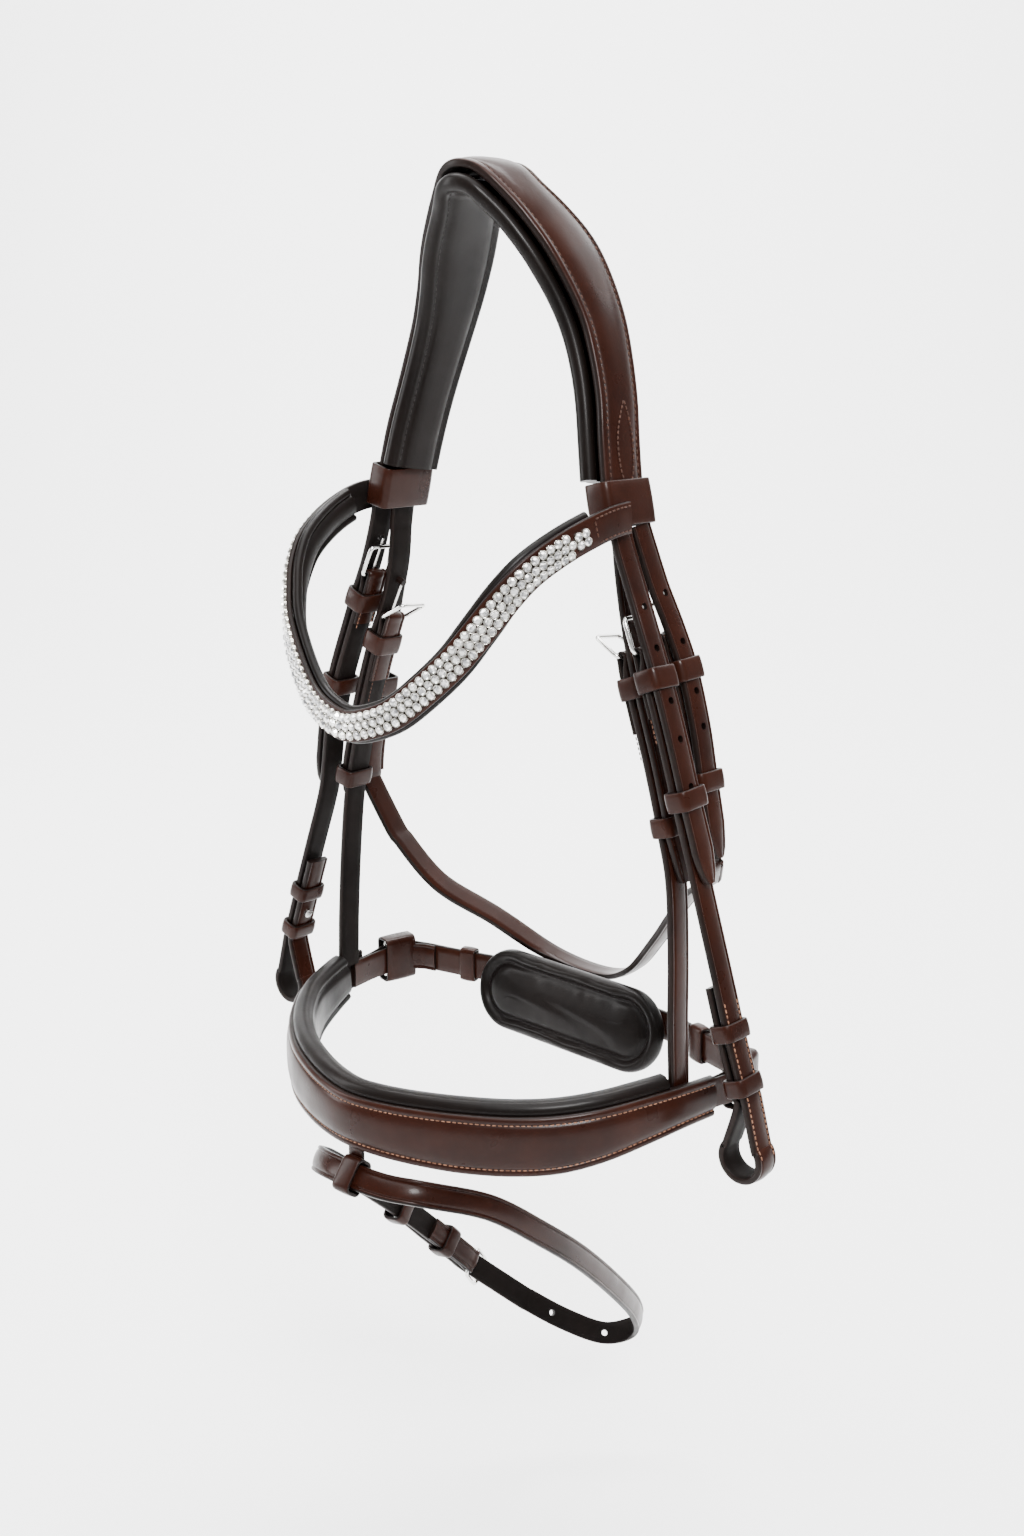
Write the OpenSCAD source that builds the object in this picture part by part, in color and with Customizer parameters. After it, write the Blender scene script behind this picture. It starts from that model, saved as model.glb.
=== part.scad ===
// Snaffle bridle: padded headpiece, curved browband, crank noseband with a chin pad, flash strap.
// Millimetres. +Z is up, the horse's face looks along -Y and its left (near) side is +X.
// The origin is where the crown's padding rests on the poll, or on a bridle hook.

/* [Straps] */
// Width of the billets, cheekpieces and throatlash
strap_w = 13; // [12:0.5:13.5]
// Thickness of one strap
strap_t = 3; // [2.6:0.1:3.1]
// Distance between the middles of two straps that lie on each other
layer_pitch = 4.6; // [4.5:0.1:4.8]
// Distance between punched holes
hole_pitch = 19; // [18:1:20]
// Radius of a punched hole
hole_r = 1.9; // [1.6:0.1:2]

/* [Headpiece] */
// Thickness of the crown's outer leather
crown_t = 4; // [3.5:0.5:4]
// Thickness of the crown's padding
crown_pad_t = 8; // [7:0.5:8]
// How far the padding stands out past the leather on each side
pad_margin = 4; // [3:0.5:4.5]

/* [Browband] */
// Width of the browband
brow_w = 14; // [13:0.5:15]
// Width of the crystal strip
crystal_w = 11; // [9:0.5:12]

/* [Noseband] */
// Height of the nose piece's leather at its middle
nose_h = 29; // [27:0.5:30]
// Thickness of the nose piece's leather
nose_t = 4.5; // [4:0.5:5]
// Thickness of the nose piece's padding
nose_pad_t = 8; // [7:0.5:8]
// Chin pad length
chin_l = 124; // [116:1:126]
// Chin pad height
chin_h = 44; // [40:1:46]
// Width of the crank strap
crank_w = 15; // [14:0.5:16]

/* [Hardware] */
// Radius of the buckle wire
wire_r = 1; // [0.9:0.05:1]
// Length of a buckle, from heel bar to front bar
buckle_l = 16; // [15:0.5:17]
// Inside radius of the cheekpiece's loop for the bit
bit_r = 8.5; // [8:0.25:9]

/* [Flash] */
// Width of the flash strap
flash_w = 12; // [11:0.5:12.5]

/* [Hidden] */
$fn = 32;
gap = 0.3;
bar_play = 0.3;       // round a heel bar
fold_r = 2;           // middle of the leather round a heel bar
chape_out = 2.45;     // from a strap's middle to the middle of its folded end
CHAPE_STEPS = 4;
FLASH_CHAPE_STEPS = 2;
fold_slot = 4;        // slot in the fold for the tongue
tongue_r = 0.7;
tongue_out = wire_r + gap + tongue_r;
tongue_l = buckle_l + 3;
keeper_wall = 1.6;
keeper_l = 10;
stud_r = 1.4;
STEPS = 5;            // points worked out between two points of a route

ACROSS_Y = [0, 1, 0]; // the width direction of the straps that hang at the sides
ACROSS_Z = [0, 0, 1]; // the width direction of the bands that go round the face

// Near side routes, from the top down. The far side is their mirror image.
CROWN = [[0, 2, 13.6], [10, 3.5, 11], [20, 7, 2], [30, 13, -10], [38, 18, -22], [45, 21.5, -36],
         [52, 23, -52], [58, 22, -69], [63, 20, -86], [67, 17, -104], [71, 15, -124], [74.6, 15, -139]];
CROWN_W = [36, 34, 31, 33, 34, 32, 29, 27, 26, 26, 26, 26];
CHEEK = [[75, 8, -139.8], [78.5, 8.5, -151], [85, 9, -168], [92, 8.5, -184], [100, 8, -203], [110, 7, -229],
         [118, 7, -254], [124, 9, -277], [129, 10, -296], [140, 9, -328], [151, 8, -360], [160, 8, -385]];
THROAT = [[75, 22, -139.8], [78.5, 23.5, -151], [83.5, 26, -167], [90, 29, -184], [97, 31, -203],
          [105, 30.5, -228], [110.5, 30, -252], [115.5, 30, -275], [118, 31, -292]];
NOSE_STRAP = [[66, 15, -133], [66.5, 16, -150], [69, 16.5, -170], [74, 15.5, -190], [82, 13.5, -211],
              [93, 13, -243], [101, 13, -271], [107, 13, -296], [110, 12, -330], [111.5, 11, -362],
              [112.5, 11, -383], [113, 11, -394]];
// Below the cheekpiece's lower keeper the strap goes round the bit and back up to its tip.
BIT_CENTRE = [154, 8, -413];
loop_t = strap_t + 0.4;   // its inside is then cut to a true round
BIT_LOOP = [for (a = [44:-10:-216]) BIT_CENTRE + (bit_r + loop_t / 2 - 0.4) * [cos(a), 0, sin(a)]];

// The browband and the nose piece, from the middle to the near side.
BROW = [[0, -87, -224], [14, -86, -221], [27, -83, -215], [41, -78, -203], [53, -72, -190], [61, -65, -177],
        [67, -57, -165], [72, -46, -154], [76.5, -30, -145], [79.5, -14, -139], [80.5, -2, -136],
        [80.5, 8, -135]];
NOSE = [[0, -92, -410], [20, -89, -410], [40, -82, -410], [58, -73, -410], [75, -61, -410], [90, -47, -409],
        [103, -30, -406], [112, -10, -403], [118, 8, -401], [121, 26, -401]];
NOSE_H = [0.9, 0.93, 0.97, 1, 1, 0.98, 0.9, 0.8, 0.72, 0.68];
TAB_BAR = [120, 46, -402];    // the ring's upright bars, in the tab and in the crank strap
CRANK_BAR = [117, 59, -402];

// The throatlash's loose loop under the jaw, from below the near billet to below the far one.
THROAT_LOOP = [[106, 40, -303], [90, 50, -314], [73, 60, -331], [54, 70, -353], [28, 83, -379],
               [1, 91, -391], [-32, 87, -387], [-56, 67, -366], [-76, 44, -345], [-98, 34, -318]];

// The flash strap's oval, from its buckle on the far side round to the eye that holds the buckle.
FLASH = [[-30, 60, -585], [-14, 78, -601], [2, 96, -612], [18, 104, -604], [34, 84, -578], [47, 52, -545],
         [56, 12, -506], [57, -20, -478], [51, -50, -454], [38, -78, -441], [22, -90, -438], [4, -94, -437],
         [-16, -92, -439], [-34, -82, -446], [-46, -62, -461], [-52, -32, -488], [-52, 0, -519],
         [-43, 34, -557]];
FLASH_ACROSS = [0.2, -0.62, -0.76];
FLASH_FRONT = 44;      // where the smoothed oval goes through its loop

// The crank strap behind the chin, from the near ring to the middle.
CRANK = [[117, 59, -402], [108, 65, -402], [96, 68, -402], [80, 72, -402], [62, 77, -402],
         [42, 79, -402], [20, 80, -402], [0, 80.5, -402]];

NEAR_CHEEK_Z = -190;   // heights of the heel bars
FAR_CHEEK_Z = -174;
NEAR_THROAT_Z = -189;
FAR_THROAT_Z = -262;
NOSE_Z = -195;
STUD_Z = -364;         // the hook stud in the bit loop
NOSE_FRAME_OPEN = 40;  // how far the noseband buckles hang open
FLASH_FRAME_TILT = 21; // how far the flash buckle leans over its billet

// ---- Routes -------------------------------------------------------------------------------------

function unit(v) = v / norm(v);
function reversed(list) = [for (i = [len(list) - 1:-1:0]) list[i]];
function mirrored(points) = [for (p = points) [-p[0], p[1], p[2]]];
function slice(list, from, to) = [for (i = [from:to]) list[i]];
function tail(list) = slice(list, 1, len(list) - 1);
function both_sides(half) = concat(reversed(tail(half)), mirrored(half));
function both_widths(half) = concat(reversed(tail(half)), half);
function curve(a, b, c, d, t) =
    0.5 * (2 * b + (c - a) * t + (2 * a - 5 * b + 4 * c - d) * t * t + (3 * b - a - 3 * c + d) * t * t * t);
function smooth(route, n = STEPS) =
    concat([for (i = [0:len(route) - 2], k = [0:n - 1])
                curve(route[max(i - 1, 0)], route[i], route[i + 1], route[min(i + 2, len(route) - 1)], k / n)],
           [route[len(route) - 1]]);
function tangent(path, i) = unit(path[min(i + 1, len(path) - 1)] - path[max(i - 1, 0)]);
function normal(path, i, across) = unit(cross(tangent(path, i), is_list(across[0]) ? across[i] : across));
function moved_out(path, across, d) = [for (i = [0:len(path) - 1]) path[i] + normal(path, i, across) * d];
function first_below(path, z) = [for (i = [0:len(path) - 1]) if (path[i][2] <= z) i][0];
function below(path, z) = slice(path, first_below(path, z), len(path) - 1);
function above(path, z) = slice(path, 0, first_below(path, z));
function same(value, path) = [for (p = path) value];
// Widths that end in a blunt point over the last few rings.
function pointed(width, path, rings = 4) =
    [for (i = [0:len(path) - 1]) let (left = len(path) - 1 - i)
        left >= rings ? width : width * (0.4 + 0.6 * sqrt(left / rings))];

function at(value, i) = is_list(value) ? value[i] : value;

// A flat strap along path: widths across it, thick along its normal.
module ribbon(path, across, widths, thick) {
    last = len(path) - 1;
    points = [for (i = [0:last]) let (
                  t = tangent(path, i), n = normal(path, i, across), w = cross(n, t) * widths[i] / 2,
                  h = n * at(thick, i) / 2)
              each [path[i] + w + h, path[i] - w + h, path[i] - w - h, path[i] + w - h]];
    sides = [for (i = [0:last - 1], k = [0:3]) let (a = 4 * i + k, b = 4 * i + (k + 1) % 4)
             each [[a, b, b + 4], [a, b + 4, a + 4]]];
    ends = [[0, 3, 2], [0, 2, 1], [4 * last, 4 * last + 1, 4 * last + 2],
            [4 * last, 4 * last + 2, 4 * last + 3]];
    polyhedron(points = points, faces = concat(sides, ends), convexity = 8);
}

// A strap's route from its chape's end, up and round the heel bar, then down along path.
function fold_points(path, across, steps = CHAPE_STEPS) = let (
        p = path[0], t = tangent(path, 0), n = normal(path, 0, across), start = fold_start(path))
    concat(reversed(slice(moved_out(path, across, -chape_out), start, start + steps)),
           [p - n * 2.25 + t * 4.5, p - n * fold_r + t * 2],
           [for (a = [180:-22.5:0]) p + n * fold_r * cos(a) - t * fold_r * sin(a)],
           [p + n * 1.7 + t * 2.4, p + n * 0.9 + t * 5], slice(path, start, len(path) - 1));
function fold_thick(path, t, steps = CHAPE_STEPS) =
    concat([for (i = [0:steps]) 1.6], [1.5, 1.4], [for (a = [180:-22.5:0]) 1.4], [1.6, 2.2],
           [for (i = [fold_start(path):len(path) - 1]) t]);
// All of the fold is as wide as the heel bar is straight, so its width direction is the bar's.
function fold_across(path, across, steps = CHAPE_STEPS) = let (
        n = normal(path, 0, across), bar = cross(n, tangent(path, 0)))
    concat([for (i = [0:steps + 13]) bar], [for (i = [fold_start(path):len(path) - 1]) across]);
function fold_start(path) = [for (i = [0:len(path) - 1]) if (norm(path[i] - path[0]) > 7.4) i][0];

// Puts its children on a path: X is across it, Y is along its outward normal and Z runs along it.
module seat(path, across, i, out = 0) {
    t = tangent(path, i);
    n = normal(path, i, across);
    w = cross(n, t);
    p = path[i] + n * out;
    multmatrix([[w[0], n[0], t[0], p[0]], [w[1], n[1], t[1], p[1]], [w[2], n[2], t[2], p[2]], [0, 0, 0, 1]])
        children();
}

module far() {
    mirror([1, 0, 0]) children();
}

// ---- Pieces that repeat -------------------------------------------------------------------------

module loop(w, t, length = keeper_l, wall = keeper_wall) {
    linear_extrude(length, center = true)
        difference() {
            square([w + 2 * wall, t + 2 * wall], center = true);
            square([w, t], center = true);
        }
}

// A stitched keeper round a billet, the strap under it and that strap's folded end.
module fixed_keeper(path, z) {
    inside = layer_pitch + chape_out + 0.8 + gap;
    outside = strap_t / 2 + gap;
    seat(path, ACROSS_Y, first_below(path, z), (outside - inside) / 2)
        loop(strap_w + 0.8, inside + outside);
}

// A loose keeper round a billet and the strap under it.
module runner(path, z) {
    seat(path, ACROSS_Y, first_below(path, z), -layer_pitch / 2)
        loop(strap_w + 1.4, layer_pitch + strap_t + 1.6, 9);
}

// A rectangle of round wire: one bar on the X axis, the other at -Z.
module wire_frame(half, length, r) {
    for (s = [-1, 1]) {
        translate([s * half, 0, -length]) cylinder(r = r, h = length);
        translate([s * half, 0, -length]) sphere(r = r);
        translate([s * half, 0, 0]) sphere(r = r);
    }
    for (z = [0, -length])
        translate([-half, 0, z]) rotate([0, 90, 0]) cylinder(r = r, h = 2 * half);
}

module buckle(w) {
    wire_frame(w / 2 + 0.8 + wire_r, buckle_l, wire_r);
}

// Its ring goes round the heel bar and its arm lies on the front bar's outer side.
module tongue(arm_l) {
    difference() {
        union() {
            rotate([0, 90, 0]) cylinder(r = wire_r + bar_play + 0.9, h = 2.6, center = true);
            translate([0, tongue_out, -arm_l]) cylinder(r = tongue_r, h = arm_l);
        }
        rotate([0, 90, 0]) cylinder(r = wire_r + bar_play, h = 4, center = true);
    }
}

// The same tongue with its tip turned out into the billet's hole.
module hooked_tongue() {
    tongue(tongue_l);
    translate([0, tongue_out, -tongue_l]) {
        sphere(r = tongue_r);
        rotate([-90, 0, 0]) cylinder(r = tongue_r, h = layer_pitch - tongue_out + 0.8);
    }
}

// The slot that a tongue needs in the fold round its heel bar.
module fold_cut(path, across) {
    seat(path, across, 0)
        translate([0, 0, -0.7]) cube([fold_slot, 7, 6.6], center = true);
}

module folded_strap(path, across) {
    points = fold_points(path, across);
    difference() {
        ribbon(points, fold_across(path, across), same(strap_w, points), fold_thick(path, strap_t));
        fold_cut(path, across);
    }
}

module hole() {
    rotate([90, 0, 0]) cylinder(r = hole_r, h = 3 * strap_t, center = true);
}

// The buckle's place, with X along its heel bar: it is on the strap that lies inside the billet.
module heel(inner, heel_z) {
    seat(below(inner, heel_z), ACROSS_Y, 0)
        children();
}

// Cuts a billet's row of holes. Hole 0 is the one its tongue is in.
module punched(path, inner, heel_z, from, to) {
    difference() {
        children();
        heel(inner, heel_z)
            translate([0, layer_pitch, -tongue_l]) hole();
        for (k = [from:to])
            if (k != 0)
                seat(path, ACROSS_Y, first_below(path, heel_z + tongue_l - k * hole_pitch)) hole();
    }
}

// ---- Paths --------------------------------------------------------------------------------------

crown_path = smooth(both_sides(CROWN), 3);
crown_widths = smooth(both_widths(CROWN_W), 3);
cheek_path = smooth(CHEEK);
throat_path = smooth(THROAT);
nose_strap_path = smooth(NOSE_STRAP);
brow_path = smooth(both_sides(BROW), 3);
nose_path = smooth(both_sides(NOSE), 3);
nose_widths = smooth(both_widths(NOSE_H), 3) * nose_h;
flash_core = smooth(FLASH, 4);
crank_path = smooth(both_sides(reversed(CRANK)), 3);

cheek_inner = moved_out(cheek_path, ACROSS_Y, -layer_pitch);
bit_return = reversed(below(moved_out(cheek_path, ACROSS_Y, -2 * layer_pitch), -332));
throat_inner = moved_out(throat_path, ACROSS_Y, -layer_pitch);
nose_outer = moved_out(nose_strap_path, ACROSS_Y, layer_pitch);

flash_last = len(flash_core) - 1;
flash_back = reversed(flash_core);    // from the heel bar to the bottom, where it turns up to the tail
flash_tail = slice(moved_out(flash_core, FLASH_ACROSS, layer_pitch), flash_last - 7, flash_last);

// ---- Headpiece ----------------------------------------------------------------------------------

module crown_leather() {
    color("saddlebrown")
        ribbon(crown_path, -ACROSS_Y, crown_widths, crown_t);
}

module cheek_billet(heel_z, from, to) {
    path = above(cheek_path, -290);
    color("saddlebrown")
        punched(cheek_path, cheek_inner, heel_z, from, to)
            ribbon(path, ACROSS_Y, pointed(strap_w, path), strap_t);
}
module near_cheek_billet() cheek_billet(NEAR_CHEEK_Z, 0, 4);
module far_cheek_billet() far() cheek_billet(FAR_CHEEK_Z, 0, 5);

module throat_billet(heel_z, from, to) {
    path = above(throat_path, -285);
    color("saddlebrown")
        punched(throat_path, throat_inner, heel_z, from, to)
            ribbon(path, ACROSS_Y, pointed(strap_w, path), strap_t);
}
module near_throat_billet() throat_billet(NEAR_THROAT_Z, 0, 3);
module far_throat_billet() far() throat_billet(FAR_THROAT_Z, -3, 0);

module crown_padding() {
    inside = crown_t / 2 + gap + strap_t + gap + crown_pad_t / 2;
    kept = [5, len(crown_path) - 6];  // it stops above the browband loops
    path = slice(moved_out(crown_path, -ACROSS_Y, -inside), kept[0], kept[1]);
    widths = slice(crown_widths, kept[0], kept[1]);
    color("black")
        ribbon(path, -ACROSS_Y, [for (w = widths) w + 2 * pad_margin], crown_pad_t);
}

// The noseband's strap lies between the crown's leather and padding, and both ends are billets.
module noseband_headstrap() {
    inside = crown_t / 2 + gap + strap_t / 2;
    top = slice(moved_out(crown_path, -ACROSS_Y, -inside), 3, len(crown_path) - 4);
    side = above(below(nose_outer, -146), -293);
    path = concat(reversed(side), top, mirrored(side));
    widths = concat(reversed(pointed(strap_w, side)), same(strap_w, top), pointed(strap_w, side));
    color("sienna")
        punched(nose_outer, nose_strap_path, NOSE_Z, 0, 1)
            far()
                punched(nose_outer, nose_strap_path, NOSE_Z, 0, 1)
                    ribbon(path, -ACROSS_Y, widths, strap_t);
}

// ---- Browband -----------------------------------------------------------------------------------

module browband() {
    color("saddlebrown")
        ribbon(brow_path, -ACROSS_Z, same(brow_w, brow_path), 2.4);
}

module browband_lining() {
    path = slice(moved_out(brow_path, -ACROSS_Z, -4), 6, len(brow_path) - 7);
    color("black")
        ribbon(path, -ACROSS_Z, same(brow_w + 2, path), 4.8);
}

module browband_crystals() {
    path = slice(moved_out(brow_path, -ACROSS_Z, 2.7), 9, len(brow_path) - 10);
    ends = [for (i = [0:len(path) - 1]) min(i, len(path) - 1 - i) < 4 ? 0.7 : 1];
    color("white")
        ribbon(path, -ACROSS_Z, ends * crystal_w, 2.2);
}

module near_browband_loop() {
    inside = crown_t / 2 + gap + strap_t + 2.2;
    outside = crown_t / 2 + 0.5;
    color("sienna")
        seat(crown_path, -ACROSS_Y, 2, (outside - inside) / 2)
            loop(28.4, inside + outside, 20, 1.9);
}
module far_browband_loop() far() near_browband_loop();

// ---- Cheekpieces --------------------------------------------------------------------------------

module cheekpiece(heel_z) {
    upper = below(cheek_inner, heel_z);
    lower = concat(BIT_LOOP, bit_return);
    points = concat(fold_points(upper, ACROSS_Y), lower);
    across = concat(fold_across(upper, ACROSS_Y), same(ACROSS_Y, lower));
    thick = concat(fold_thick(upper, strap_t), same(loop_t, BIT_LOOP), same(strap_t, bit_return));
    color("saddlebrown")
        difference() {
            ribbon(points, across, same(strap_w, points), thick);
            fold_cut(upper, ACROSS_Y);
            translate(BIT_CENTRE)
                rotate([90, 0, 0])
                    cylinder(r = bit_r, h = strap_w + 4, center = true, $fn = 64);
            seat(cheek_path, ACROSS_Y, first_below(cheek_path, STUD_Z), -2 * layer_pitch)
                rotate([90, 0, 0]) cylinder(r = hole_r, h = strap_t + 1, center = true);
        }
}
module near_cheekpiece() cheekpiece(NEAR_CHEEK_Z);
module far_cheekpiece() far() cheekpiece(FAR_CHEEK_Z);

// Each stud stands on the strap, goes through the folded end's hole and has a round head.
module hook_stud() {
    start = -layer_pitch - strap_t / 2;
    stop = -2 * layer_pitch - strap_t / 2 - 0.4;
    seat(cheek_path, ACROSS_Y, first_below(cheek_path, STUD_Z)) {
        translate([0, stop, 0]) rotate([-90, 0, 0]) cylinder(r = stud_r, h = start - stop - 0.05);
        translate([0, stop - 1.5, 0]) rotate([-90, 0, 0]) cylinder(r = 2.6, h = 1.6);
    }
}

module hook_studs() {
    color("silver") {
        hook_stud();
        far() hook_stud();
    }
}

module bit_keeper(z) {
    seat(cheek_path, ACROSS_Y, first_below(cheek_path, z), -1.5 * layer_pitch)
        loop(strap_w + 0.8, layer_pitch + strap_t + 0.8, 8);
}

module bit_keepers() {
    color("sienna")
        for (z = [-350, -376]) {
            bit_keeper(z);
            far() bit_keeper(z);
        }
}

module cheek_keepers() {
    color("sienna") {
        fixed_keeper(cheek_path, NEAR_CHEEK_Z - 12);
        far() fixed_keeper(cheek_path, FAR_CHEEK_Z - 12);
    }
}

module near_cheek_runner() color("sienna") runner(cheek_path, -252);
module far_cheek_runner() color("sienna") far() runner(cheek_path, -232);

// ---- Throatlash ---------------------------------------------------------------------------------

module throatlash() {
    near = below(throat_inner, NEAR_THROAT_Z);
    far_end = below(throat_inner, FAR_THROAT_Z);
    middle = smooth(THROAT_LOOP, 4);
    path = concat(fold_points(near, ACROSS_Y), middle, reversed(mirrored(fold_points(far_end, ACROSS_Y))));
    across = concat(fold_across(near, ACROSS_Y), same(ACROSS_Y, middle),
                    -reversed(mirrored(-fold_across(far_end, ACROSS_Y))));
    thick = concat(fold_thick(near, strap_t), same(strap_t, middle), reversed(fold_thick(far_end, strap_t)));
    color("saddlebrown")
        difference() {
            ribbon(path, across, same(strap_w, path), thick);
            fold_cut(near, ACROSS_Y);
            far() fold_cut(far_end, ACROSS_Y);
        }
}

module throat_keepers() {
    color("sienna") {
        fixed_keeper(throat_path, NEAR_THROAT_Z - 12);
        far() fixed_keeper(throat_path, -236);
    }
}

module near_throat_runner() color("sienna") runner(throat_path, -250);

// ---- Noseband -----------------------------------------------------------------------------------

module near_noseband_strap() {
    color("saddlebrown")
        folded_strap(below(nose_strap_path, NOSE_Z), ACROSS_Y);
}
module far_noseband_strap() far() near_noseband_strap();

module noseband_keepers() {
    color("sienna") {
        fixed_keeper(nose_outer, NOSE_Z - 10);
        far() fixed_keeper(nose_outer, NOSE_Z - 10);
    }
}

module near_noseband_runner() color("sienna") runner(nose_outer, -269);
module far_noseband_runner() color("sienna") far() runner(nose_outer, -281);

module nose_piece() {
    color("saddlebrown")
        ribbon(nose_path, -ACROSS_Z, nose_widths, nose_t);
}

module nose_padding() {
    path = moved_out(nose_path, -ACROSS_Z, -nose_t / 2 - gap - nose_pad_t / 2);
    raised = [for (p = path) p + [0, 0, 2.5]];
    kept = [4, len(path) - 5];  // it stops in front of the straps that hold the noseband up
    widths = slice(nose_widths, kept[0], kept[1]);
    color("black")
        ribbon(slice(raised, kept[0], kept[1]), -ACROSS_Z, [for (w = widths) w + 6], nose_pad_t);
}

// An upright strap stitched inside the nose piece's end, with an eye for the ring.
module near_side_tab() {
    start = [116, 17];
    run = [TAB_BAR[0], TAB_BAR[1]] - start;
    color("sienna")
        translate([0, 0, TAB_BAR[2]])
            linear_extrude(15, center = true)
                difference() {
                    union() {
                        translate(start) rotate(atan2(run[1], run[0])) translate([0, -1.1])
                            square([norm(run), 2.2]);
                        translate([TAB_BAR[0], TAB_BAR[1]]) circle(r = 3.4);
                    }
                    translate([TAB_BAR[0], TAB_BAR[1]]) circle(r = 1.9);
                }
}
module far_side_tab() far() near_side_tab();

// An upright rectangular ring joins each tab to the crank strap.
module ring() {
    along = CRANK_BAR - TAB_BAR;
    translate(TAB_BAR)
        rotate([0, 0, atan2(-along[0], along[1])])
            rotate([90, 0, 0]) rotate([0, 0, 90])
                wire_frame(9.4, norm(along), 1.5);
}

module side_rings() {
    color("silver") {
        ring();
        far() ring();
    }
}

// A leather sleeve round each side ring, from the tab's bar to the crank strap's bar.
module ring_cover() {
    along = CRANK_BAR - TAB_BAR;
    translate((TAB_BAR + CRANK_BAR) / 2)
        rotate([0, 0, atan2(-along[0], along[1])])
            rotate([90, 0, 0])
                loop(8.2, 22.4, 16, 1.4);
}

module ring_covers() {
    color("sienna") {
        ring_cover();
        far() ring_cover();
    }
}

function flat(points) = [for (p = points) [p[0], p[1]]];

module crank_strap() {
    outer = flat(moved_out(crank_path, ACROSS_Z, 1.5));
    inner = flat(moved_out(crank_path, ACROSS_Z, -1.5));
    color("saddlebrown")
        translate([0, 0, CRANK_BAR[2]])
            linear_extrude(crank_w, center = true)
                difference() {
                    union() {
                        polygon(concat(outer, reversed(inner)));
                        for (s = [-1, 1])
                            translate([s * CRANK_BAR[0], CRANK_BAR[1]]) circle(r = 3.4);
                    }
                    for (s = [-1, 1])
                        translate([s * CRANK_BAR[0], CRANK_BAR[1]]) circle(r = 1.9);
                }
}

module crank_keepers() {
    color("sienna")
        for (i = [9, len(crank_path) - 10])
            seat(crank_path, ACROSS_Z, i)
                loop(crank_w + 0.8, 3.8, 9);
}

module stadium(length, h, thick) {
    linear_extrude(thick, center = true) {
        square([length - h, h], center = true);
        for (s = [-1, 1])
            translate([s * (length - h) / 2, 0]) circle(d = h);
    }
}

module chin_pad() {
    color("black")
        translate([0, 64.5, -404]) rotate([78, 0, 0]) stadium(chin_l, chin_h, 10);
}

module chin_pad_backing() {
    color("saddlebrown")
        translate([0, 64.5, -404]) rotate([78, 0, 0])
            translate([0, 0, -6.6]) stadium(chin_l - 8, chin_h - 8, 2.4);
}

// ---- Flash strap --------------------------------------------------------------------------------

module flash_loop() {
    color("sienna") {
        seat(flash_core, FLASH_ACROSS, FLASH_FRONT)
            loop(flash_w + 2.2, 7.4, 10, 1.6);
        translate([-2.5, -90.4, -431.4]) cube([10, 2.2, 7.3]);
    }
}

module flash_strap() {
    bend = fold_points(flash_back, -FLASH_ACROSS, FLASH_CHAPE_STEPS);
    end = reversed(flash_tail);
    path = concat(bend, end);
    across = concat(-fold_across(flash_back, -FLASH_ACROSS, FLASH_CHAPE_STEPS), same(FLASH_ACROSS, end));
    color("saddlebrown")
        difference() {
            ribbon(path, across, concat(same(flash_w, bend), pointed(flash_w, end)),
                   concat(fold_thick(flash_back, strap_t, FLASH_CHAPE_STEPS), same(strap_t, end)));
            fold_cut(flash_back, -FLASH_ACROSS);
            seat(flash_back, -FLASH_ACROSS, 0)
                translate([0, 4.5, -6]) cube([3.8, 7, 12], center = true);
            for (i = [3, 8, 13])
                seat(flash_core, FLASH_ACROSS, i)
                    rotate([90, 0, 0]) cylinder(r = hole_r, h = 9, center = true);
        }
}

module flash_keeper() {
    inside = chape_out + 0.8 + gap;
    outside = layer_pitch + strap_t / 2 + gap + 0.2;
    color("sienna")
        seat(flash_core, FLASH_ACROSS, flash_last - 2, (outside - inside) / 2)
            loop(flash_w + 0.8, inside + outside, 8);
}

module flash_runner() {
    color("sienna")
        seat(flash_core, FLASH_ACROSS, flash_last - 5, layer_pitch / 2)
            loop(flash_w + 1.4, layer_pitch + strap_t + 1.6, 8);
}

module flash_frame() {
    color("silver")
        seat(flash_back, -FLASH_ACROSS, 0)
            rotate([FLASH_FRAME_TILT, 0, 0]) children();
}

module flash_buckle() flash_frame() buckle(flash_w);
module flash_tongue() flash_frame() tongue(buckle_l + 2.5);

// ---- Buckles ------------------------------------------------------------------------------------

// The frame lies on the horse's side of the billet, and open degrees away from it.
module frame(inner, heel_z, open = 0) {
    color("silver")
        heel(inner, heel_z)
            rotate([-open, 0, 0]) buckle(strap_w);
}

module near_cheek_buckle() frame(cheek_inner, NEAR_CHEEK_Z);
module far_cheek_buckle() far() frame(cheek_inner, FAR_CHEEK_Z);
module near_throat_buckle() frame(throat_inner, NEAR_THROAT_Z);
module far_throat_buckle() far() frame(throat_inner, FAR_THROAT_Z);
module near_noseband_buckle() frame(nose_strap_path, NOSE_Z, NOSE_FRAME_OPEN);
module far_noseband_buckle() far() near_noseband_buckle();

module held_tongue(inner, heel_z) {
    heel(inner, heel_z)
        hooked_tongue();
}

module cheek_tongues() {
    color("silver") {
        held_tongue(cheek_inner, NEAR_CHEEK_Z);
        far() held_tongue(cheek_inner, FAR_CHEEK_Z);
    }
}

module throat_tongues() {
    color("silver") {
        held_tongue(throat_inner, NEAR_THROAT_Z);
        far() held_tongue(throat_inner, FAR_THROAT_Z);
    }
}

module noseband_tongues() {
    color("silver") {
        held_tongue(nose_strap_path, NOSE_Z);
        far() held_tongue(nose_strap_path, NOSE_Z);
    }
}

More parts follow.
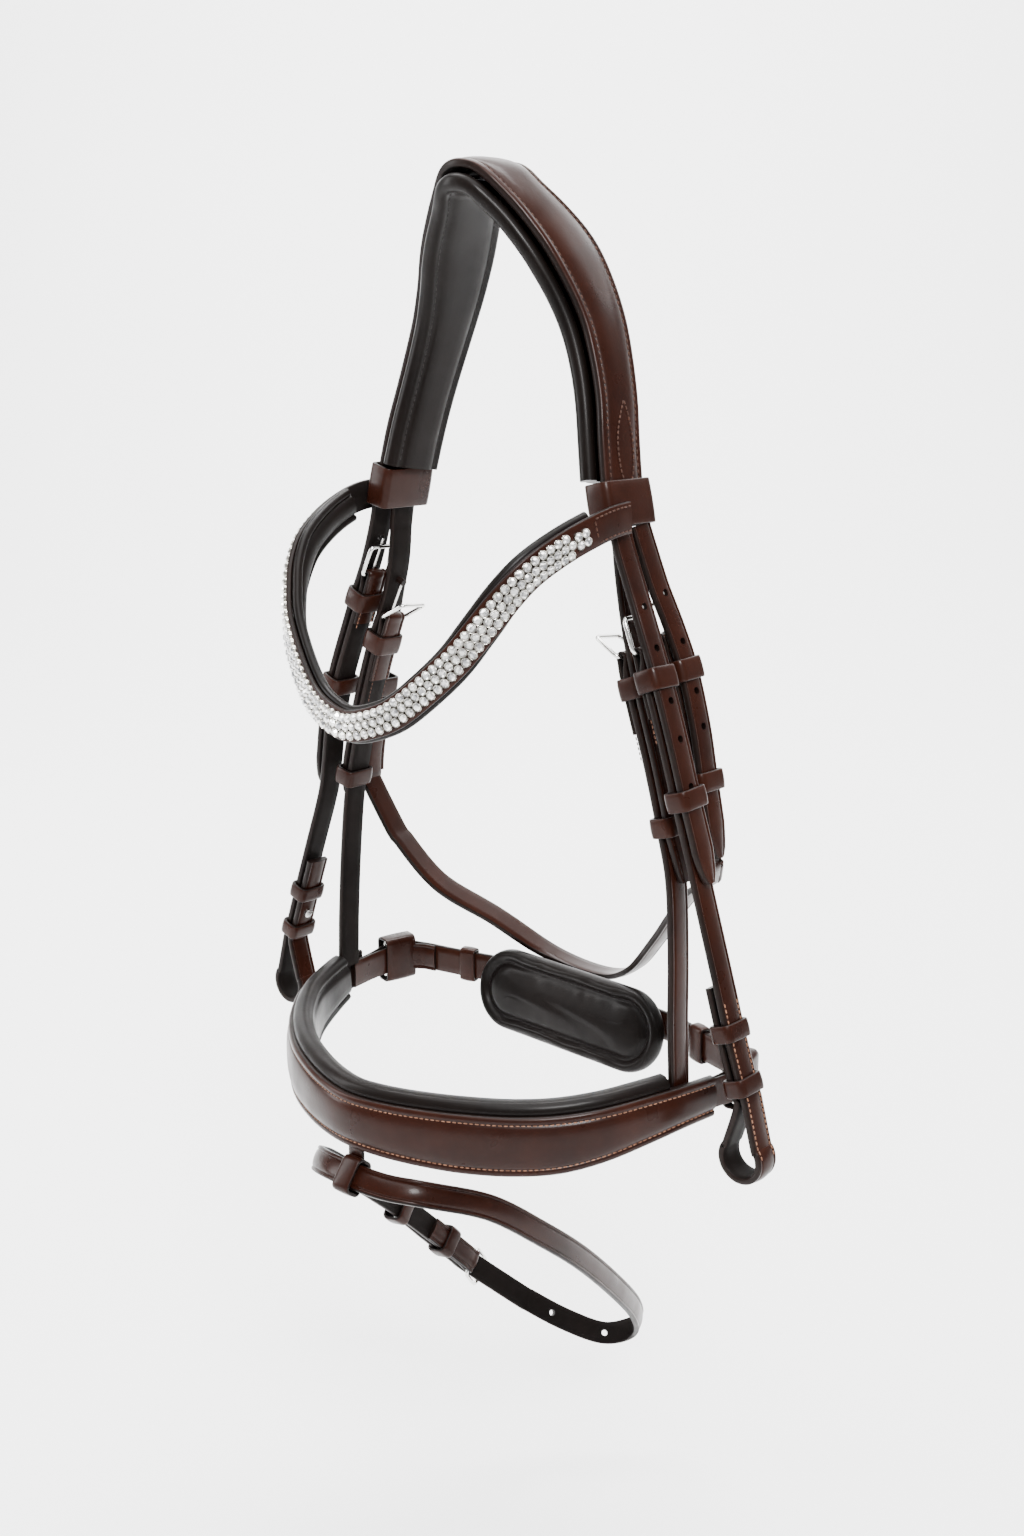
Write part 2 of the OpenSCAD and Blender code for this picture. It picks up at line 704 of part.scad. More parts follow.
crown_leather();
crown_padding();
noseband_headstrap();
near_cheek_billet();
far_cheek_billet();
near_throat_billet();
far_throat_billet();
browband();
browband_lining();
browband_crystals();
near_browband_loop();
far_browband_loop();
near_cheekpiece();
far_cheekpiece();
hook_studs();
bit_keepers();
cheek_keepers();
near_cheek_runner();
far_cheek_runner();
throatlash();
throat_keepers();
near_throat_runner();
near_noseband_strap();
far_noseband_strap();
noseband_keepers();
near_noseband_runner();
far_noseband_runner();
nose_piece();
nose_padding();
near_side_tab();
far_side_tab();
side_rings();
ring_covers();
crank_strap();
crank_keepers();
chin_pad();
chin_pad_backing();
flash_loop();
flash_strap();
flash_keeper();
flash_runner();
flash_buckle();
flash_tongue();
near_cheek_buckle();
far_cheek_buckle();
near_throat_buckle();
far_throat_buckle();
near_noseband_buckle();
far_noseband_buckle();
cheek_tongues();
throat_tongues();
noseband_tongues();
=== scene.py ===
"""Snaffle bridle in havana leather: the looks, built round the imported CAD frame.

Every route below is in millimetres in the row frame, the same as in the part's source, and is turned
into metres when a mesh is made. Straps are swept leather sections, pads are soft stuffed forms, and
stitches, crystals, keepers and buckles are their own small meshes.
"""

import math

import bmesh
import bpy
import numpy as np
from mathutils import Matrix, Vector


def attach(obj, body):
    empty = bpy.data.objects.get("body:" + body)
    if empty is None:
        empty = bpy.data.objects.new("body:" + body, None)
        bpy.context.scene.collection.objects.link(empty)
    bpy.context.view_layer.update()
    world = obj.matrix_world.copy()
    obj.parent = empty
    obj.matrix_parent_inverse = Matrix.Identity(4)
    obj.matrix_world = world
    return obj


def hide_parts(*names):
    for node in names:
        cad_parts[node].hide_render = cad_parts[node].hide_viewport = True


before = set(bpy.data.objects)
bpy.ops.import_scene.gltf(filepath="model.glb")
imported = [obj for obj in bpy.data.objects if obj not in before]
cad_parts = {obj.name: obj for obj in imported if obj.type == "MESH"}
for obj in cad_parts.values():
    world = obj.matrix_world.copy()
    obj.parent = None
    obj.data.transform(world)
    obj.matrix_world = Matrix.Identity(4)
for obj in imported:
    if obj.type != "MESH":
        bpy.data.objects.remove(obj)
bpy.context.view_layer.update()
MM = 0.001

# ---- Camera -------------------------------------------------------------------------------------

CAMERA_AT = Vector((0.546, -0.572, -0.051))
CAMERA_AZIMUTH = math.radians(42.67)
CAMERA_ELEVATION = math.radians(14.81)


def make_camera():
    data = bpy.data.cameras.new("camera")
    data.lens, data.sensor_width = 40, 36
    data.clip_start, data.clip_end = 0.02, 60
    camera = bpy.data.objects.new("camera", data)
    bpy.context.scene.collection.objects.link(camera)
    flat = math.cos(CAMERA_ELEVATION)
    back = Vector(
        (math.sin(CAMERA_AZIMUTH) * flat, -math.cos(CAMERA_AZIMUTH) * flat, math.sin(CAMERA_ELEVATION))
    )
    camera.location = CAMERA_AT
    camera.rotation_mode = "QUATERNION"
    camera.rotation_quaternion = back.to_track_quat("Z", "Y")
    bpy.context.scene.camera = camera


make_camera()

# ---- Sizes, as in the part ----------------------------------------------------------------------

STRAP_W, STRAP_T = 13, 3
LAYER_PITCH = 4.6
HOLE_PITCH, HOLE_R = 19, 1.7
CROWN_T, CROWN_PAD_T, PAD_MARGIN, PAD_END = 4, 8, 4, 4
BROW_W, CRYSTAL_END = 14, 7
NOSE_H, NOSE_T, NOSE_PAD_T = 29, 4.5, 8
CHIN_L, CHIN_H = 124, 44
CRANK_W = 15
WIRE_R, BUCKLE_L, BIT_R = 1.0, 16, 8.5
FLASH_W = 12
GAP = 0.3
FOLD_R, CHAPE_OUT, CHAPE_STEPS, CHAPE_REACH = 2, 2.45, 4, 7.4
KEEPER_WALL, KEEPER_L = 1.6, 10
EDGE_INSET, PAD_SEAM, HOLE_DEPTH = 3.6, 5.5, 4.0
TONGUE_L = BUCKLE_L + 3
ACROSS_Y, ACROSS_Z = np.array([0.0, 1, 0]), np.array([0.0, 0, 1])

CROWN = [(0, 2, 13.6), (10, 3.5, 11), (20, 7, 2), (30, 13, -10), (38, 18, -22), (45, 21.5, -36),
         (52, 23, -52), (58, 22, -69), (63, 20, -86), (67, 17, -104), (71, 15, -124), (74.6, 15, -139)]
CROWN_W = [36, 34, 31, 33, 34, 32, 29, 27, 26, 26, 26, 26]
CHEEK = [(75, 8, -139.8), (78.5, 8.5, -151), (85, 9, -168), (92, 8.5, -184), (100, 8, -203),
         (110, 7, -229), (118, 7, -254), (124, 9, -277), (129, 10, -296), (140, 9, -328),
         (151, 8, -360), (160, 8, -385)]
THROAT = [(75, 22, -139.8), (78.5, 23.5, -151), (83.5, 26, -167), (90, 29, -184), (97, 31, -203),
          (105, 30.5, -228), (110.5, 30, -252), (115.5, 30, -275), (118, 31, -292)]
NOSE_STRAP = [(66, 15, -133), (66.5, 16, -150), (69, 16.5, -170), (74, 15.5, -190), (82, 13.5, -211),
              (93, 13, -243), (101, 13, -271), (107, 13, -296), (110, 12, -330), (111.5, 11, -362),
              (112.5, 11, -383), (113, 11, -394)]
BROW = [(0, -87, -224), (14, -86, -221), (27, -83, -215), (41, -78, -203), (53, -72, -190),
        (61, -65, -177), (67, -57, -165), (72, -46, -154), (76.5, -30, -145), (79.5, -14, -139),
        (80.5, -2, -136), (80.5, 8, -135)]
NOSE = [(0, -92, -410), (20, -89, -410), (40, -82, -410), (58, -73, -410), (75, -61, -410),
        (90, -47, -409), (103, -30, -406), (112, -10, -403), (118, 8, -401), (121, 26, -401)]
NOSE_SHARE = [0.9, 0.93, 0.97, 1, 1, 0.98, 0.9, 0.8, 0.72, 0.68]
TAB_BAR, CRANK_BAR = np.array([120.0, 46, -402]), np.array([117.0, 59, -402])
CRANK = [(117, 59, -402), (108, 65, -402), (96, 68, -402), (80, 72, -402), (62, 77, -402),
         (42, 79, -402), (20, 80, -402), (0, 80.5, -402)]
THROAT_LOOP = [(106, 40, -303), (90, 50, -314), (73, 60, -331), (54, 70, -353), (28, 83, -379),
               (1, 91, -391), (-32, 87, -387), (-56, 67, -366), (-76, 44, -345), (-98, 34, -318)]
FLASH = [(-30, 60, -585), (-14, 78, -601), (2, 96, -612), (18, 104, -604), (34, 84, -578),
         (47, 52, -545), (56, 12, -506), (57, -20, -478), (51, -50, -454), (38, -78, -441),
         (22, -90, -438), (4, -94, -437), (-16, -92, -439), (-34, -82, -446), (-46, -62, -461),
         (-52, -32, -488), (-52, 0, -519), (-43, 34, -557)]
FLASH_ACROSS = np.array([0.2, -0.62, -0.76])
FLASH_FRONT = 44
BIT_CENTRE = np.array([154.0, 8, -413])
CHIN_AT = np.array([0, 64.5, -404])

NEAR_CHEEK_Z, FAR_CHEEK_Z = -190, -174
NEAR_THROAT_Z, FAR_THROAT_Z = -189, -262
NOSE_Z = -195
NOSE_FRAME_OPEN, FLASH_FRAME_TILT = 40, 21
FAR_THROAT_KEEPER_Z, STUD_Z, BIT_KEEPERS_Z = -236, -364, (-350, -376)

# Stitches: pitch, length and thread radius.
CROWN_STITCH, MOTIF_STITCH, PAD_STITCH = (2.9, 1.9, 0.46), (2.4, 1.7, 0.42), (3.2, 2.2, 0.3)
BROW_STITCH, CHEEK_STITCH, CHAPE_STITCH = (2.6, 1.8, 0.42), (2.5, 1.7, 0.36), (2.3, 1.6, 0.3)
NOSE_STITCH, CHIN_STITCH, BACKING_STITCH = (2.6, 1.8, 0.36), (2.9, 1.7, 0.3), (2.7, 1.9, 0.36)

# A swept path gets this many rings for each of its stretches.
FINE = 3

# ---- Routes -------------------------------------------------------------------------------------


def unit(v):
    return v / np.linalg.norm(v)


def smooth(route, steps=5):
    """Points on a smooth curve through the route: steps of them for each of its stretches."""
    p = np.array(route, float)
    last = len(p) - 1
    out = []
    for i in range(last):
        a, b, c, d = p[max(i - 1, 0)], p[i], p[i + 1], p[min(i + 2, last)]
        for k in range(steps):
            t = k / steps
            out.append(
                0.5 * (2 * b + (c - a) * t + (2 * a - 5 * b + 4 * c - d) * t * t
                       + (3 * b - a - 3 * c + d) * t**3)
            )
    out.append(p[last])
    return np.array(out)


def tangents(path, closed=False):
    if closed:
        d = np.roll(path, -1, 0) - np.roll(path, 1, 0)
    else:
        d = np.empty_like(path)
        d[1:-1] = path[2:] - path[:-2]
        d[0], d[-1] = path[1] - path[0], path[-1] - path[-2]
    return d / np.linalg.norm(d, axis=1)[:, None]


def axes(path, across, closed=False):
    """Tangent, outward normal and width direction at every point of a path."""
    t = tangents(path, closed)
    n = np.cross(t, across)
    n /= np.linalg.norm(n, axis=1)[:, None]
    return t, n, np.cross(n, t)


def moved_out(path, across, d):
    return path + axes(path, across)[1] * d


def mirrored(path):
    return np.array(path, float) * (-1, 1, 1)


def both_sides(half):
    half = np.array(half, float)
    return np.concatenate([half[:0:-1], mirrored(half)])


def both_widths(half):
    return np.array(list(half[:0:-1]) + list(half), float)


def first_below(path, z):
    return int(np.argmax(path[:, 2] <= z))


def below(path, z):
    return path[first_below(path, z):]


def above(path, z):
    return path[: first_below(path, z) + 1]


def pointed(width, path, rings=4):
    """Widths of a strap that narrows to a rounded tip over its last rings."""
    left = np.minimum(np.arange(len(path))[::-1], rings) / rings
    return width * (0.4 + 0.6 * np.sqrt(left))


def fold(path, across, steps=CHAPE_STEPS, r=FOLD_R):
    """A strap from its folded end, round a bar and down: points, thicknesses, width directions."""
    tan, out, wide = axes(path, across)
    p, t0, n0 = path[0], tan[0], out[0]
    start = int(np.argmax(np.linalg.norm(path - p, axis=1) > CHAPE_REACH))
    chape = moved_out(path, across, -CHAPE_OUT)[start: start + steps + 1][::-1]
    bend = [p - n0 * (r + 0.25) + t0 * 4.5, p - n0 * r + t0 * 2]
    turn = [math.radians(a) for a in np.arange(180, -1, -22.5)]
    bend += [p + n0 * r * math.cos(a) - t0 * r * math.sin(a) for a in turn]
    bend += [p + n0 * (r - 0.3) + t0 * 2.4, p + n0 * (r - 1.1) + t0 * 5]
    points = np.concatenate([chape, bend, path[start:]])
    thick = [1.6] * len(chape) + [1.5, 1.4] + [1.4] * len(turn) + [1.6, 2.2]
    rest = len(path) - start
    widths = [wide[0]] * len(thick) + [np.array(across, float)] * rest
    return points, np.array(thick + [STRAP_T] * rest, float), np.array(widths)


def seat(path, across, i, out=0.0):
    """Place and axes (across, outward, along) of a piece that sits on a path."""
    t, n, w = (a[i] for a in axes(path, across))
    return path[i] + n * out, w, n, t


def mirror_seat(s):
    return tuple(v * np.array([-1.0, 1, 1]) for v in s)


crown_path = smooth(both_sides(CROWN), 3)
crown_widths = smooth(both_widths(CROWN_W)[:, None], 3)[:, 0]
cheek_path, throat_path, nose_strap_path = smooth(CHEEK), smooth(THROAT), smooth(NOSE_STRAP)
brow_path = smooth(both_sides(BROW), 3)
nose_path = smooth(both_sides(NOSE), 3)
nose_widths = smooth(both_widths(NOSE_SHARE)[:, None], 3)[:, 0] * NOSE_H
flash_core = smooth(FLASH, 4)
flash_back = flash_core[::-1]
flash_last = len(flash_core) - 1
crank_path = smooth(both_sides(CRANK[::-1]), 3)
cheek_inner = moved_out(cheek_path, ACROSS_Y, -LAYER_PITCH)
bit_return = below(moved_out(cheek_path, ACROSS_Y, -2 * LAYER_PITCH), -332)[::-1]
throat_inner = moved_out(throat_path, ACROSS_Y, -LAYER_PITCH)
nose_outer = moved_out(nose_strap_path, ACROSS_Y, LAYER_PITCH)
flash_tail = moved_out(flash_core, FLASH_ACROSS, LAYER_PITCH)[flash_last - 7: flash_last + 1]
BIT_LOOP = np.array(
    [BIT_CENTRE + (BIT_R + STRAP_T / 2) * np.array([math.cos(a), 0, math.sin(a)])
     for a in np.radians(np.arange(44, -217, -10))]
)

# ---- Materials ----------------------------------------------------------------------------------

HAVANA = (0.0190, 0.0051, 0.0026)
HAVANA_DARK = (0.0095, 0.0027, 0.0016)
FLESH = (0.0055, 0.0038, 0.0033)
PADDING = (0.0042, 0.0026, 0.0021)
WORN = (0.028, 0.0095, 0.0055)


def shader(name):
    material = bpy.data.materials.new(name)
    material.use_nodes = True
    tree = material.node_tree
    return material, tree, tree.nodes["Principled BSDF"]


def put(node, **values):
    """Sets a node's inputs by name, with _ for a space."""
    for key, value in values.items():
        node.inputs[key.replace("_", " ")].default_value = value


def noise(tree, scale, detail, rough=0.5):
    coords = tree.nodes.new("ShaderNodeTexCoord")
    node = tree.nodes.new("ShaderNodeTexNoise")
    put(node, Scale=scale, Detail=detail, Roughness=rough)
    tree.links.new(coords.outputs["Object"], node.inputs["Vector"])
    return node.outputs["Fac"]


def ramp(tree, source, low, high, start=0.3, end=0.7):
    node = tree.nodes.new("ShaderNodeValToRGB")
    stops = node.color_ramp.elements
    stops[0].position, stops[0].color = start, (*low, 1)
    stops[1].position, stops[1].color = end, (*high, 1)
    tree.links.new(source, node.inputs["Fac"])
    return node.outputs["Color"]


def spread(tree, source, low, high):
    node = tree.nodes.new("ShaderNodeMapRange")
    put(node, From_Min=0.3, From_Max=0.7, To_Min=low, To_Max=high)
    tree.links.new(source, node.inputs["Value"])
    return node.outputs["Result"]


def grain(tree, bsdf, scale, depth):
    """Fine pebbled leather grain over slow waves, as bump."""
    coords = tree.nodes.new("ShaderNodeTexCoord")
    cells = tree.nodes.new("ShaderNodeTexVoronoi")
    put(cells, Scale=scale)
    tree.links.new(coords.outputs["Object"], cells.inputs["Vector"])
    waves = noise(tree, scale * 0.08, 5.0)
    mix = tree.nodes.new("ShaderNodeMath")
    mix.operation = "MULTIPLY_ADD"
    mix.inputs[1].default_value = 0.35
    tree.links.new(cells.outputs["Distance"], mix.inputs[0])
    tree.links.new(waves, mix.inputs[2])
    bump = tree.nodes.new("ShaderNodeBump")
    put(bump, Strength=0.35, Distance=depth)
    tree.links.new(mix.outputs[0], bump.inputs["Height"])
    tree.links.new(bump.outputs["Normal"], bsdf.inputs["Normal"])


def leather(name, dark, light, rough, coat, shine, grain_scale=900, depth=0.00012, wear=None):
    """Mottled leather with a pebbled grain; with wear, its convex edges are paler."""
    material, tree, bsdf = shader(name)
    colour = ramp(tree, noise(tree, 28, 6.0, 0.6), dark, light)
    if wear:
        edge = tree.nodes.new("ShaderNodeNewGeometry")
        worn = tree.nodes.new("ShaderNodeMix")
        worn.data_type = "RGBA"
        worn.inputs["B"].default_value = (*wear, 1)
        curve = tree.nodes.new("ShaderNodeMapRange")
        put(curve, From_Min=0.53, From_Max=0.62, To_Max=0.55)
        tree.links.new(edge.outputs["Pointiness"], curve.inputs["Value"])
        tree.links.new(curve.outputs["Result"], worn.inputs["Factor"])
        tree.links.new(colour, worn.inputs["A"])
        colour = worn.outputs["Result"]
    tree.links.new(colour, bsdf.inputs["Base Color"])
    polish = spread(tree, noise(tree, 60, 3.0), rough - 0.06, rough + 0.09)
    tree.links.new(polish, bsdf.inputs["Roughness"])
    put(bsdf, Specular_IOR_Level=shine, Coat_Weight=coat, Coat_Roughness=0.16, Coat_IOR=1.4)
    grain(tree, bsdf, grain_scale, depth)
    return material


def metal(name, colour, rough):
    material, tree, bsdf = shader(name)
    tone = ramp(tree, noise(tree, 140, 3.0), tuple(c * 0.85 for c in colour), colour)
    tree.links.new(tone, bsdf.inputs["Base Color"])
    put(bsdf, Metallic=1.0)
    polish = spread(tree, noise(tree, 400, 2.0), rough * 0.7, rough * 1.3)
    tree.links.new(polish, bsdf.inputs["Roughness"])
    return material


def thread(name, low, high):
    material, tree, bsdf = shader(name)
    tree.links.new(ramp(tree, noise(tree, 900, 2.0), low, high), bsdf.inputs["Base Color"])
    put(bsdf, Roughness=0.7, Specular_IOR_Level=0.12, Sheen_Weight=0.04)
    return material


def crystal(name):
    material, tree, bsdf = shader(name)
    # Painted sparkle: the base colour runs from dark grey to near white in small random patches,
    # standing in for reflections flashing in the facets of a clear stone.
    tone = ramp(tree, noise(tree, 420, 1.0), (0.34, 0.34, 0.35), (1.0, 0.99, 0.96), 0.40, 0.56)
    tree.links.new(tone, bsdf.inputs["Base Color"])
    put(bsdf, Metallic=0.75, Roughness=0.05, IOR=2.0, Coat_Weight=1.0, Coat_Roughness=0.03)
    return material


HAVANA_MAT = leather("havana_leather", HAVANA_DARK, HAVANA, 0.31, 0.09, 0.08, wear=WORN)
EDGE_MAT = leather("leather_edge", (0.004, 0.0022, 0.0018), (0.008, 0.004, 0.003), 0.42, 0.05, 0.08)
FLESH_MAT = leather("flesh_side", (0.003, 0.0022, 0.002), FLESH, 0.6, 0.0, 0.05, 1400, 0.00018)
PAD_MAT = leather("padding_leather", (0.0022, 0.0015, 0.0013), PADDING, 0.40, 0.06, 0.07, 1100, 0.00015)
STEEL_MAT = metal("polished_steel", (0.72, 0.71, 0.69), 0.16)
SETTING_MAT = metal("crystal_setting", (0.46, 0.44, 0.40), 0.24)
# The crystal material carries painted sparkle: its dark and bright patches are painted reflection.
CRYSTAL_PAINTED_SPARKLE_MAT = crystal("crystal_painted_sparkle")
DARK_THREAD = thread("dark_thread", (0.018, 0.0075, 0.005), (0.060, 0.028, 0.019))
TAN_THREAD = thread("tan_thread", (0.09, 0.042, 0.026), (0.27, 0.14, 0.09))
BLACK_THREAD = thread("black_thread", (0.008, 0.0065, 0.006), (0.020, 0.016, 0.015))
STRAP_MATS = (HAVANA_MAT, EDGE_MAT, FLESH_MAT)
LINED_MATS = (HAVANA_MAT, EDGE_MAT, HAVANA_MAT)

# ---- Mesh tools ---------------------------------------------------------------------------------


def make(name, part, mats, body="bridle", slot="strap_leather", nodes=None, sharp=50, mirror=False):
    """A closed piece from points in millimetres, faces and face materials.

    It rides on its body and stands for CAD nodes: the one of its own name, unless others are given.
    """
    verts, faces, kinds = part
    points = np.array(verts, float) * MM
    if mirror:
        points = points * (-1, 1, 1)
    mesh = bpy.data.meshes.new(name)
    mesh.from_pydata([tuple(p) for p in points], [], [tuple(f) for f in faces])
    for m in mats:
        mesh.materials.append(m)
    mesh.polygons.foreach_set("material_index", np.array(kinds, np.int32))
    bm = bmesh.new()
    bm.from_mesh(mesh)
    bmesh.ops.recalc_face_normals(bm, faces=bm.faces)
    for f in bm.faces:
        f.smooth = True
    limit = math.radians(sharp)
    for e in bm.edges:
        e.smooth = len(e.link_faces) == 2 and e.calc_face_angle(0) < limit
    bm.to_mesh(mesh)
    bm.free()
    obj = bpy.data.objects.new(name, mesh)
    bpy.context.scene.collection.objects.link(obj)
    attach(obj, body)
    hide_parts(*(nodes or [name]))
    return obj


def flat_back(a, b, bevel, inner):
    """The back of a section with bevelled edges; inner places the points between them."""
    return [(a, -b + bevel), (a - bevel, -b), *[(a * x, -b) for x in inner],
            (-a + bevel, -b), (-a, -b + bevel)]


def strap_section(a, b, rise=0.5, crease=0.4):
    """Half width a, half thickness b: a crowned face with a crease inside each edge, flat behind."""
    r = min(0.9, b * 0.7)
    inset = min(1.9, a * 0.42)
    left = [(-a, b - r), (-a + 0.3 * r, b - 0.3 * r), (-a + r, b), (-a + inset - 0.4, b + 0.03),
            (-a + inset, b - crease), (-a + inset + 0.45, b + 0.02)]
    inner = a - inset - 0.45
    steps = (-0.75, -0.45, -0.15, 0.15, 0.45, 0.75)
    middle = [(s * inner, b + 0.02 + rise * (1 - s * s)) for s in steps]
    front = left + middle + [(-x, y) for x, y in left[::-1]]
    face = [1, 1] + [0] * (len(front) - 4) + [1] + [1, 1, 2, 2, 2, 1, 1]
    return front + flat_back(a, b, 0.4, (0.4, -0.4)), face


def plain_section(a, b, rise=0.25):
    """A keeper's or tab's section: softly rounded, with no crease."""
    r = min(0.6, b * 0.7)
    top = [(-a, b - r), (-a + 0.3 * r, b - 0.3 * r), (-a + r, b)]
    middle = [(s * (a - r), b + rise * (1 - s * s)) for s in (-0.6, -0.2, 0.2, 0.6)]
    front = top + middle + [(-x, y) for x, y in top[::-1]]
    face = [1] + [0] * (len(front) - 3) + [1] + [1, 1, 2, 2, 1, 1]
    return front + flat_back(a, b, 0.3, (0,)), face


def crown_section(a, b, rise=1.3, inset=EDGE_INSET, crease=0.7):
    """A wide shaped leather: bevelled edges, a stitch groove, and a raised middle."""
    left = [(-a, b - 1.6), (-a + 0.25, b - 0.9), (-a + 0.8, b - 0.4), (-a + 1.6, b - 0.1),
            (-a + inset - 0.7, b), (-a + inset, b - crease), (-a + inset + 0.8, b)]
    inner = a - inset - 0.8
    steps = (-0.9, -0.75, -0.55, -0.3, -0.1, 0.1, 0.3, 0.55, 0.75, 0.9)
    middle = [(s * inner, b + rise * (1 - abs(s) ** 3)) for s in steps]
    front = left + middle + [(-x, y) for x, y in left[::-1]]
    face = [1] + [0] * (len(front) - 3) + [1] + [1, 1, 2, 2, 2, 1, 1]
    return front + flat_back(a, b, 0.5, (0.4, -0.4)), face


def lining_section(a, b, seam=3.6, dip=1.0):
    """A stuffed roll: round edges, a soft seam inside each edge on the horse's side, full between."""
    edge = [(-a + b * (1 - math.cos(t)), b * math.sin(t)) for t in np.radians([15, 40, 65, 90])]
    top = edge + [(-a * 0.5, b), (0, b), (a * 0.5, b)] + [(-x, y) for x, y in edge[::-1]]
    s = a - seam
    swell = [(f * s, -b - 1.2 * (1 - f * f) + dip * abs(f) ** 8) for f in
             (1.0, 0.9, 0.75, 0.5, 0.2, -0.2, -0.5, -0.75, -0.9, -1.0)]
    low = [(x, -y) for x, y in edge]
    points = top + [(-x, y) for x, y in low] + swell + low[::-1]
    return points, [0] * len(points)


def round_section(r, sides=10):
    return ([(r * math.cos(2 * math.pi * k / sides), r * math.sin(2 * math.pi * k / sides))
             for k in range(sides)], [0] * sides)


def quads(order, sides):
    """Four-sided faces between rings of points, taken in the given order."""
    return [(i * sides + k, i * sides + (k + 1) % sides, j * sides + (k + 1) % sides, j * sides + k)
            for i, j in zip(order, order[1:]) for k in range(sides)]


def caps(rings, sides):
    """The two end faces of a row of rings."""
    return [tuple(range(sides))[::-1], tuple(range((rings - 1) * sides, rings * sides))]


def sweep(path, across, section, widths=2, thick=2, closed=False, by=FINE):
    """Points, faces and face materials of a section swept along a path."""
    rings = smooth(path, by)
    count = len(rings)

    def along(values):
        if np.isscalar(values):
            return np.full(count, float(values))
        return np.interp(np.linspace(0, len(path) - 1, count), np.arange(len(path)), values)

    if np.ndim(across) == 2:
        across = np.stack([along(across[:, k]) for k in range(3)], 1)
    _, n, w = axes(rings, across, closed)
    half_w, half_t = along(widths) / 2, along(thick) / 2
    verts, kinds = [], None
    for i in range(count):
        points, kinds = section(half_w[i], half_t[i])
        verts += [rings[i] + w[i] * x + n[i] * y for x, y in points]
    order = list(range(count)) + [0] * closed
    faces, face_mats = quads(order, len(kinds)), kinds * (len(order) - 1)
    if not closed:
        faces += caps(count, len(kinds))
        face_mats += [1 if 1 in kinds else 0] * 2
    return verts, faces, face_mats


def join(*parts):
    """Several (points, faces, face materials) as one."""
    verts, faces, mats = [], [], []
    for v, f, m in parts:
        base = len(verts)
        verts += list(v)
        faces += [tuple(i + base for i in face) for face in f]
        mats += list(m)
    return verts, faces, mats


def flip(part, far=True):
    """A part on the other side of the bridle, if it is a far one."""
    v, f, m = part
    return ([np.array(p) * (-1, 1, 1) for p in v], f, m) if far else part


def turned(at, x, y, up, profile, sides, phase=0.0, hollow=False):
    """A part turned about the axis up from (radius, height) pairs; a hollow one has no end faces."""
    angles = [2 * math.pi * (q + phase) / sides for q in range(sides)]
    verts = [at + (x * math.cos(a) + y * math.sin(a)) * radius + up * h
             for radius, h in profile for a in angles]
    order = list(range(len(profile)))
    faces = quads(order + [0], sides) if hollow else caps(len(order), sides) + quads(order, sides)
    return verts, faces, [0] * len(faces)


def distances(points):
    """How far along a line each of its points lies."""
    return np.concatenate([[0], np.cumsum(np.linalg.norm(np.diff(points, axis=0), axis=1))])


def at_distance(s, run, values):
    return np.array([np.interp(s, run, values[:, k]) for k in range(3)])


def bead(at, along, out, length, r):
    """A stitch: a short rounded dash lying on the leather."""
    profile = [(r * k, length * s) for s, k in ((-0.5, 0.35), (-0.32, 0.9), (0.32, 0.9), (0.5, 0.35))]
    return turned(at, np.cross(along, out), out, along, profile, 6)


def stitch_line(points, outs, stitch):
    """Stitches at an even pitch along a line of points with outward directions."""
    pitch, length, r = stitch
    run = distances(points)
    parts = []
    for s in np.arange(pitch * 0.6, run[-1] - pitch * 0.4, pitch):
        p = at_distance(s, run, points)
        o = unit(at_distance(s, run, outs))
        along = unit(at_distance(min(s + 0.5, run[-1]), run, points) - p)
        parts.append(bead(p, along, unit(o - along * (o @ along)), length, r))
    return join(*parts)


def edge_rows(path, across, widths, lift, inset, stitch):
    """Stitch rows a little inside a strap's edges; lift is their height over its middle."""
    rings = smooth(path, FINE)
    station = np.linspace(0, len(path) - 1, len(rings))
    half = np.interp(station, np.arange(len(path)), np.broadcast_to(widths, len(path))) / 2
    _, n, w = axes(rings, across)
    return join(*[stitch_line(rings + w * (side * (half - inset))[:, None] + n * lift, n, stitch)
                  for side in (-1, 1)])


def rounded_rectangle(w, h, r, corner):
    """The corner arcs of a rectangle about the origin, anticlockwise."""
    out = []
    for cx, cy, start in ((w / 2 - r, h / 2 - r, 0), (-w / 2 + r, h / 2 - r, 90),
                          (-w / 2 + r, -h / 2 + r, 180), (w / 2 - r, -h / 2 + r, 270)):
        for a in np.radians(np.linspace(start, start + 90, corner)):
            out.append((cx + r * math.cos(a), cy + r * math.sin(a)))
    return out


def band(place, w, t, length=KEEPER_L, wall=KEEPER_WALL):
    """A leather loop round straps: its inside is w by t in the seat's plane."""
    p, across, out, along = place
    corners = rounded_rectangle(w + wall, t + wall, min(2.4, t * 0.4), corner=7)
    ring = np.array([p + across * x + out * y for x, y in corners])
    if np.cross(across, out) @ along < 0:
        ring = ring[::-1]
    return sweep(ring, along, plain_section, length, wall, closed=True, by=1)


def buckle_frame(place, w, opened=0.0):
    """A rounded rectangle of wire: heel bar on the seat, front bar up the strap, turned by opened."""
    p, across, out, along = place
    a = math.radians(opened)
    up = -along * math.cos(a) - out * math.sin(a)
    face = unit(np.cross(across, up))
    ring = [p + across * x + up * (y + BUCKLE_L / 2)
            for x, y in rounded_rectangle(w + 1.6 + 2 * WIRE_R, BUCKLE_L, 2.6, corner=6)]
    return sweep(np.array(ring), face, lambda *_: round_section(WIRE_R), closed=True, by=1)


